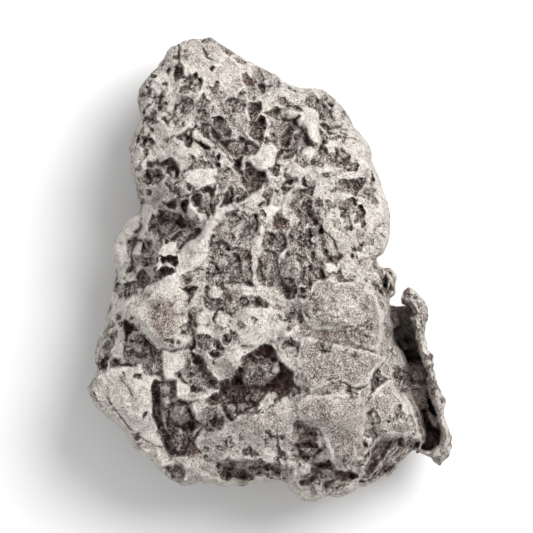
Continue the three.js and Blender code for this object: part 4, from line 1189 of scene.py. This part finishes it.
# %% A closed net of faces
def closed_net(height_above, height_below, kept):
    """Vertices and four-sided faces of a slab between two height maps."""
    squares = kept[:-1, :-1] & kept[1:, :-1] & kept[:-1, 1:] & kept[1:, 1:]
    used = np.zeros(kept.shape, bool)
    for dj in (0, 1):
        for di in (0, 1):
            used[dj:kept.shape[0] - 1 + dj, di:kept.shape[1] - 1 + di] |= squares
    number = np.full(kept.shape, -1)
    number[used] = np.arange(used.sum())
    x = (grid_x[used] - GRID_CENTRE[0]) * STEP
    y = (GRID_CENTRE[1] - grid_y[used]) * STEP
    upper = np.stack([x, y, height_above[used]], axis=1)
    lower = np.stack([x, y, height_below[used]], axis=1)
    corners = [number[:-1, :-1], number[1:, :-1], number[1:, 1:], number[:-1, 1:]]
    faces_above = np.stack([c[squares] for c in corners], axis=1)
    faces_below = faces_above[:, ::-1] + used.sum()
    padded = np.pad(squares, 1)
    neighbours = [padded[1:-1, :-2], padded[2:, 1:-1], padded[1:-1, 2:], padded[:-2, 1:-1]]
    sides = []
    for start in range(4):
        rim = squares & ~neighbours[start]
        a, b = corners[start][rim], corners[(start + 1) % 4][rim]
        sides.append(np.stack([b, a, a + used.sum(), b + used.sum()], axis=1))
    return np.concatenate([upper, lower]), np.concatenate([faces_above, faces_below, *sides])


vertices, faces = closed_net(top, bottom, inside)
mesh = bpy.data.meshes.new("meteorite_stone")
mesh.vertices.add(len(vertices))
mesh.vertices.foreach_set("co", vertices.astype(np.float32).ravel())
mesh.loops.add(4 * len(faces))
mesh.loops.foreach_set("vertex_index", faces.astype(np.int32).ravel())
mesh.polygons.add(len(faces))
mesh.polygons.foreach_set("loop_start", np.arange(0, 4 * len(faces), 4, dtype=np.int32))
mesh.update(calc_edges=True)
lump = bpy.data.objects.new("meteorite_stone", mesh)
bpy.context.scene.collection.objects.link(lump)
bpy.ops.object.select_all(action="DESELECT")
lump.select_set(True)
bpy.context.view_layer.objects.active = lump
print("the net has", len(faces), "faces")


# %% Helpers for the mesh
def apply_modifier(kind, **settings):
    modifier = lump.modifiers.new(kind.lower(), kind)
    for name, value in settings.items():
        setattr(modifier, name, value)
    bpy.ops.object.modifier_apply(modifier=modifier.name)


def vectors_of(collection, what):
    found = np.zeros(len(collection) * 3, np.float32)
    collection.foreach_get(what, found)
    return found.reshape(-1, 3).astype(float)


def vertex_places():
    return vectors_of(lump.data.vertices, "co")


def vertex_normals():
    return vectors_of(lump.data.vertex_normals, "vector")


def set_vertices(places):
    lump.data.vertices.foreach_set("co", places.astype(np.float32).ravel())
    lump.data.update()


def drawing_of(places):
    """The drawing grid's x and y for places in millimetres."""
    return GRID_CENTRE[0] + places[:, 0] / STEP, GRID_CENTRE[1] - places[:, 1] / STEP


# %% Remesh into even cells
VOXEL = 0.27  # mm
SNAP_REACH = 0.8  # mm

apply_modifier("REMESH", mode="VOXEL", voxel_size=VOXEL)
places, normals = vertex_places(), vertex_normals()
x, y = drawing_of(places)
height = sampled(top, x, y)
level_enough = ease((normals[:, 2] - 0.3) / 0.3)
close = np.abs(height - places[:, 2]) < SNAP_REACH
places[:, 2] = mix(places[:, 2], height, level_enough * close)
set_vertices(places)
print("after remeshing:", len(lump.data.polygons), "faces")

# %% [markdown]
# ## The flanks and the underside
#
# The map only holds what is seen from above. The flanks and the underside get the same kinds of
# hollows and chips from noise in three dimensions. The patch that the stone rests on stays flat.


# %% Noise in three dimensions
def lumps_3d(places, size, seed):
    """Smooth random lumps in space, from -1 to 1."""
    p = places / size + seed
    base = np.floor(p)
    i, j, k = base.T
    across, along, up = ease(p - base).T

    def edge_value(dj, dk):
        start = corner_value(i, j + dj, k + dk)
        end = corner_value(i + 1, j + dj, k + dk)
        return mix(start, end, across)

    lower = mix(edge_value(0, 0), edge_value(1, 0), along)
    upper = mix(edge_value(0, 1), edge_value(1, 1), along)
    return 2 * mix(lower, upper, up) - 1


def shards_3d(places, size, seed):
    """Cells in space: a random value for each, and the distance to the cell's border."""
    p = places / size + seed
    base = np.floor(p)
    nearest = np.full(len(p), 9.0)
    second = np.full(len(p), 9.0)
    chosen = np.zeros(len(p))
    for shift in np.ndindex(3, 3, 3):
        i, j, k = (base + np.array(shift) - 1).T
        spot = np.stack([corner_value(i + n, j - n, k) for n in (17, 31, 53)], axis=1)
        away = np.linalg.norm(np.stack([i, j, k], axis=1) + spot - p, axis=1)
        closer = away < nearest
        second = np.where(closer, nearest, np.minimum(second, away))
        chosen = np.where(closer, corner_value(i, j + 71, k), chosen)
        nearest = np.where(closer, away, nearest)
    return chosen, (second - nearest) * size


FLANK_SHARD = 2.2  # mm across
FLANK_GAP = 0.3  # mm wide
HOLLOW_DEPTH = 0.8  # mm


def flank_texture(places):
    """Height in millimetres, tone, and how open the stone is on the flanks and the underside."""
    warped = places + 0.5 * np.stack([lumps_3d(places, 2.5, s) for s in (3, 7, 11)], axis=1)
    hollows = lumps_3d(warped, 8, 13) + 0.7 * lumps_3d(warped, 3.6, 17)
    opened = ease((hollows - 0.15) / 0.35)
    value, border = shards_3d(warped, FLANK_SHARD, 19)
    gap = 1 - ease(border / FLANK_GAP)
    heights = 0.4 * lumps_3d(places, 5, 23) + 0.2 * lumps_3d(places, 1.6, 29)
    heights = heights - HOLLOW_DEPTH * opened
    heights += (0.15 + 0.45 * opened) * (value - 0.5) - 0.25 * gap * (0.25 + 0.75 * opened)
    tones = 0.76 - 0.36 * opened + (0.06 + 0.2 * opened) * (value - 0.5) - 0.16 * gap
    return heights, tones + 0.1 * lumps_3d(places, 4, 37), opened


# %% Carve the flanks
REST_KEEP, REST_FADE = 0.4, 2.5  # mm above the rest face that stay untouched, and fade in

normals = vertex_normals()
flank_height, _, _ = flank_texture(places)
steep = ease((0.5 - normals[:, 2]) / 0.4)
share = steep * ease((places[:, 2] - REST_KEEP) / REST_FADE)
places += normals * (flank_height * share)[:, None]
set_vertices(places)
print("flanks carved by up to", np.abs(flank_height * share).max().round(1), "mm")

# %% [markdown]
# ## Fewer triangles, and what the material needs to know
#
# The mesh is thinned where it is smooth, and most on the belly, which is hidden. Then each vertex
# gets its tone, its rust and how bare it is, from the map or from the flanks' noise, so that the
# material follows the same pits.

# %% Thin the mesh
TRIANGLE_LIMIT = 196000
BELLY_HEIGHT = 14  # mm
BELLY_TRIANGLES = 42000

triangles = sum(len(polygon.vertices) - 2 for polygon in lump.data.polygons)
unseen = (vertex_normals()[:, 2] < -0.1) | (places[:, 2] < BELLY_HEIGHT)
belly = lump.vertex_groups.new(name="belly")
belly.add(np.flatnonzero(unseen).tolist(), 1.0, "REPLACE")
seen_share = 1 - unseen.mean()
collapse = {"decimate_type": "COLLAPSE", "use_collapse_triangulate": True}
apply_modifier("DECIMATE", **collapse, ratio=seen_share + BELLY_TRIANGLES / triangles,
               vertex_group="belly")
lump.vertex_groups.clear()
after_belly = len(lump.data.polygons)
apply_modifier("DECIMATE", **collapse, ratio=TRIANGLE_LIMIT / after_belly)
print("thinned from", triangles, "to", after_belly, "and", len(lump.data.polygons), "triangles")


# %% Attributes for the material
def write_attribute(name, values):
    attribute = lump.data.attributes.new(name, "FLOAT", "POINT")
    attribute.data.foreach_set("value", values.astype(np.float32))


places, normals = vertex_places(), vertex_normals()
x, y = drawing_of(places)
mapped = ease((normals[:, 2] + 0.1) / 0.4) * ease((places[:, 2] - 10) / 4)
_, flank_tone, flank_open = flank_texture(places)
write_attribute("tone", np.clip(mix(flank_tone, sampled(tone, x, y), mapped), 0, 1))
write_attribute("rust", mix(0.2 * flank_open, sampled(rust, x, y), mapped))
write_attribute("bare", np.clip(mix(0.3 + 0.6 * flank_open, sampled(rough, x, y), mapped), 0, 1))
print("attributes written to", len(places), "vertices")

# %% Back to metres
CREASE_ANGLE = 40  # degrees

lump.scale = (1 / METRES_TO_MM,) * 3
bpy.ops.object.transform_apply(location=False, rotation=False, scale=True)
bpy.ops.object.shade_smooth_by_angle(angle=np.radians(CREASE_ANGLE))
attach(lump, "root")
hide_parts("meteorite")
print("the stone spans", [round(size * METRES_TO_MM, 1) for size in lump.dimensions], "mm")

# %% [markdown]
# ## The finish
#
# The real stone has one skin that goes from chalky crust to bare, rusty iron, so it is one material
# that follows the map. A tone picks a colour on a ramp, from dark brown through grey to chalk, and
# fine grain pushes the tone up and down, so that the edges between colours aren't blurred. Where the
# stone is bare, thin shards lie along its grain, with dark gaps between them and bright flecks.
# Dark specks are strewn over everything. Cells and noise are chosen because they need no pictures
# and stay sharp from near by. The crust is dry and rough, and the bare stone a little smoother.

# %% A small kit for nodes
material = bpy.data.materials.new("weathered crust over dark iron")
material.use_nodes = True
nodes = material.node_tree.nodes
links = material.node_tree.links
nodes.clear()


def node(kind, inputs=None, **settings):
    made = nodes.new(kind)
    for name, value in settings.items():
        setattr(made, name, value)
    for name, value in (inputs or {}).items():
        socket = made.inputs[name]
        if isinstance(value, bpy.types.NodeSocket):
            links.new(value, socket)
        else:
            socket.default_value = value
    return made


def math_node(operation, a, b=0.0, c=0.0):
    return node("ShaderNodeMath", {0: a, 1: b, 2: c}, operation=operation).outputs[0]


def attribute_node(name):
    return node("ShaderNodeAttribute", attribute_name=name).outputs["Fac"]


def noise_node(scale, detail, roughness=0.6):
    made = node("ShaderNodeTexNoise",
                {"Vector": in_mm, "Scale": scale, "Detail": detail, "Roughness": roughness})
    return made.outputs["Fac"]


def pushed(value, noise, strength):
    """The value with noise added, centred on zero."""
    return math_node("ADD", value, math_node("MULTIPLY_ADD", noise, strength, -strength / 2))


def srgb(*levels):
    shares = [level / 255 for level in levels]
    linear = [c / 12.92 if c <= 0.04045 else ((c + 0.055) / 1.055) ** 2.4 for c in shares]
    return (*linear, 1)


# %% Places in millimetres, and the same stretched along the grain
GRAIN_ANGLE = 65  # degrees from the x axis
GRAIN_STRETCH = 0.42  # places are squeezed to this along the grain, so cells come out longer
WARP = 0.5  # mm
SWIRLS = 0.9  # to the millimetre

place = node("ShaderNodeTexCoord").outputs["Object"]
in_mm = node("ShaderNodeMapping", {"Vector": place, "Scale": (METRES_TO_MM,) * 3}).outputs[0]
swirl = node("ShaderNodeTexNoise", {"Vector": in_mm, "Scale": SWIRLS, "Detail": 3})
swirl = node("ShaderNodeVectorMath", {0: swirl.outputs["Color"], 1: (0.5, 0.5, 0.5)},
             operation="SUBTRACT").outputs[0]
warped = node("ShaderNodeVectorMath", {0: swirl, 1: (2 * WARP,) * 3, 2: in_mm},
              operation="MULTIPLY_ADD").outputs[0]
turned = node("ShaderNodeMapping", {"Vector": warped,
                                    "Rotation": (0, 0, -np.radians(GRAIN_ANGLE))}).outputs[0]
along_grain = node("ShaderNodeMapping", {"Vector": turned,
                                         "Scale": (GRAIN_STRETCH, 1, 1)}).outputs[0]

# %% Thin shards with dark gaps, flecks and specks
SHARDS = 1.25  # to the millimetre
GAP = 0.07  # of a shard's width
FINE_SHARDS = 2.3  # times as many to the millimetre


def voronoi(feature, output, scale):
    made = node("ShaderNodeTexVoronoi", {"Vector": along_grain, "Scale": scale}, feature=feature)
    return made.outputs[output]


def stepped(value, start, end):
    """From 0 at start to 1 at end, with soft ends."""
    made = node("ShaderNodeMapRange", {"Value": value, "From Min": start, "From Max": end},
                interpolation_type="SMOOTHSTEP")
    return made.outputs["Result"]


def scaled(value, strength):
    return math_node("MULTIPLY", value, strength)


bare = attribute_node("bare")
shard_shade = node("ShaderNodeSeparateColor",
                   {"Color": voronoi("F1", "Color", SHARDS)}).outputs["Red"]
gap = stepped(voronoi("DISTANCE_TO_EDGE", "Distance", SHARDS), GAP, 0)
fine_gap = stepped(voronoi("DISTANCE_TO_EDGE", "Distance", FINE_SHARDS * SHARDS), 1.2 * GAP, 0)
gaps = math_node("MAXIMUM", gap, scaled(fine_gap, 0.7))
patchy = stepped(noise_node(0.5, 3), 0.4, 0.62)
crust_gaps = scaled(math_node("MULTIPLY", gaps, patchy), 0.45)
open_gaps = math_node("MULTIPLY", gaps, math_node("MULTIPLY_ADD", patchy, 0.5, 0.5))
gaps = node("ShaderNodeMix", {"Factor": bare, 2: crust_gaps, 3: open_gaps}).outputs[0]
flecks = math_node("MULTIPLY", stepped(noise_node(3.4, 2), 0.57, 0.63), bare)
specks = stepped(noise_node(3.1, 2), 0.42, 0.34)

# %% Tone, pushed about by the shards and by grain
BLOTCHES, GRAIN, SAND = 1.6, 5.6, 6.5  # to the millimetre
BLOTCH_PUSH, GRAIN_PUSH, SAND_PUSH, SHARD_PUSH = 0.15, 1.6, 0.7, 0.5  # how far each moves the tone
SHARD_MEAN = 0.45

map_tone = attribute_node("tone")
sand = node("ShaderNodeTexVoronoi", {"Vector": in_mm, "Scale": SAND}).outputs["Color"]
rough_tone = pushed(map_tone, noise_node(BLOTCHES, 3), BLOTCH_PUSH)
rough_tone = pushed(rough_tone, noise_node(GRAIN, 1, 0.7), GRAIN_PUSH)
rough_tone = pushed(rough_tone, sand, SAND_PUSH)
shard_push = scaled(math_node("SUBTRACT", shard_shade, SHARD_MEAN), SHARD_PUSH)
for layer, push in [(shard_push, bare), (gaps, -0.4), (flecks, 0.4), (specks, -0.2)]:
    rough_tone = math_node("MULTIPLY_ADD", layer, push, rough_tone)
print("so far", len(nodes), "nodes")

# %% Colours from dark brown to chalk
RUST_COLOUR = srgb(110, 62, 46)
RUST_STRENGTH = 0.75
TONES = [
    (0.0, srgb(68, 51, 46)), (0.3, srgb(99, 80, 73)), (0.45, srgb(135, 119, 111)),
    (0.55, srgb(162, 151, 143)), (0.65, srgb(192, 185, 177)), (0.75, srgb(211, 205, 197)),
    (0.85, srgb(225, 218, 209)), (1.0, srgb(238, 232, 224)),
]
ramp = node("ShaderNodeValToRGB", {"Fac": rough_tone})
stops = ramp.color_ramp.elements
stops.remove(stops[1])
stops[0].position, stops[0].color = TONES[0]
for position, colour in TONES[1:]:
    stops.new(position).color = colour

redness = scaled(attribute_node("rust"), RUST_STRENGTH)
rusty = node("ShaderNodeMix", {"Factor": redness, 6: ramp.outputs["Color"], 7: RUST_COLOUR},
             data_type="RGBA").outputs[2]
print(len(TONES), "colours on the ramp")

# %% Roughness and fine relief
LEAST_ROUGHNESS, TONE_ROUGHNESS = 0.62, 0.25
BUMP_DEPTH = 0.00034  # m
SHINE = 0.3

roughness = math_node("MULTIPLY_ADD", map_tone, TONE_ROUGHNESS, LEAST_ROUGHNESS)
fine = math_node("MULTIPLY_ADD", noise_node(14, 3, 0.7), 0.5, noise_node(4.5, 4, 0.7))
shard_step = math_node("MULTIPLY", shard_shade, bare)
for layer, height in [(gaps, -1.1), (flecks, 0.5), (shard_step, 1.2)]:
    fine = math_node("MULTIPLY_ADD", layer, height, fine)
bump = node("ShaderNodeBump", {"Height": fine, "Strength": 1.0, "Distance": BUMP_DEPTH})
shader = node("ShaderNodeBsdfPrincipled",
              {"Base Color": rusty, "Roughness": roughness, "Normal": bump.outputs["Normal"]})
shader.inputs["Specular IOR Level"].default_value = SHINE
node("ShaderNodeOutputMaterial", {"Surface": shader.outputs["BSDF"]})
lump.data.materials.append(material)
print("the material has", len(nodes), "nodes")

# %% [markdown]
# ## The studio
#
# The stone lies on a white sheet and is seen from straight above. A big soft lamp stands to the
# upper right, so the shadow falls to the lower left, and the rest of the room is bright and even.

# %% The sheet it lies on
FLOOR_SIZE = 3.0  # m
FLOOR_LEVEL = -0.0002  # m, a hair below the stone
PAPER_COLOUR = srgb(226, 226, 226)
PAPER_ROUGHNESS = 0.9

bpy.ops.object.select_all(action="DESELECT")
bpy.ops.mesh.primitive_plane_add(size=FLOOR_SIZE, location=(0, 0, FLOOR_LEVEL))
sheet = bpy.context.active_object
sheet.name = "floor"
paper = bpy.data.materials.new("white paper")
paper.use_nodes = True
surface = paper.node_tree.nodes["Principled BSDF"]
surface.inputs["Base Color"].default_value = PAPER_COLOUR
surface.inputs["Roughness"].default_value = PAPER_ROUGHNESS
sheet.data.materials.append(paper)
print("the sheet is", FLOOR_SIZE, "m wide")

# %% The lamp and the room
KEY_PLACE = Vector((0.34, 0.29, 0.62))  # m
KEY_SIZE = 0.5  # m
KEY_POWER = 7.3  # W
ROOM_LIGHT = 0.77

light = bpy.data.lights.new("key", "AREA")
light.shape = "DISK"
light.size = KEY_SIZE
light.energy = KEY_POWER
lamp = bpy.data.objects.new("key", light)
bpy.context.scene.collection.objects.link(lamp)
lamp.location = KEY_PLACE
lamp.rotation_mode = "QUATERNION"
lamp.rotation_quaternion = (-KEY_PLACE).to_track_quat("-Z", "Y")

world = bpy.data.worlds.new("room")
world.use_nodes = True
world.node_tree.nodes["Background"].inputs["Color"].default_value = (1, 1, 1, 1)
world.node_tree.nodes["Background"].inputs["Strength"].default_value = ROOM_LIGHT
bpy.context.scene.world = world
print("the lamp stands", round(KEY_PLACE.length, 2), "m from the stone")

# %% Camera, straight above
PICTURE_STEPS = 533  # steps of the drawing across the picture, at the stone's upper half
UPPER_HALF = 0.028  # m, the level that the picture's scale holds for
CAMERA_HEIGHT = 2.0  # m
FAR_LIMIT = 10  # m
SENSOR_WIDTH = 36  # mm

camera_data = bpy.data.cameras.new("camera")
camera_data.sensor_width = SENSOR_WIDTH
picture_width = PICTURE_STEPS * STEP / METRES_TO_MM
camera_data.lens = SENSOR_WIDTH * (CAMERA_HEIGHT - UPPER_HALF) / picture_width
camera_data.clip_end = FAR_LIMIT
camera = bpy.data.objects.new("camera", camera_data)
bpy.context.scene.collection.objects.link(camera)
off_x, off_y = (PICTURE_STEPS / 2 - GRID_CENTRE) * STEP / METRES_TO_MM
camera.location = (off_x, -off_y, CAMERA_HEIGHT)
bpy.context.scene.camera = camera
bpy.context.scene.view_settings.view_transform = "Standard"
print("the lens is", round(camera_data.lens), "mm")
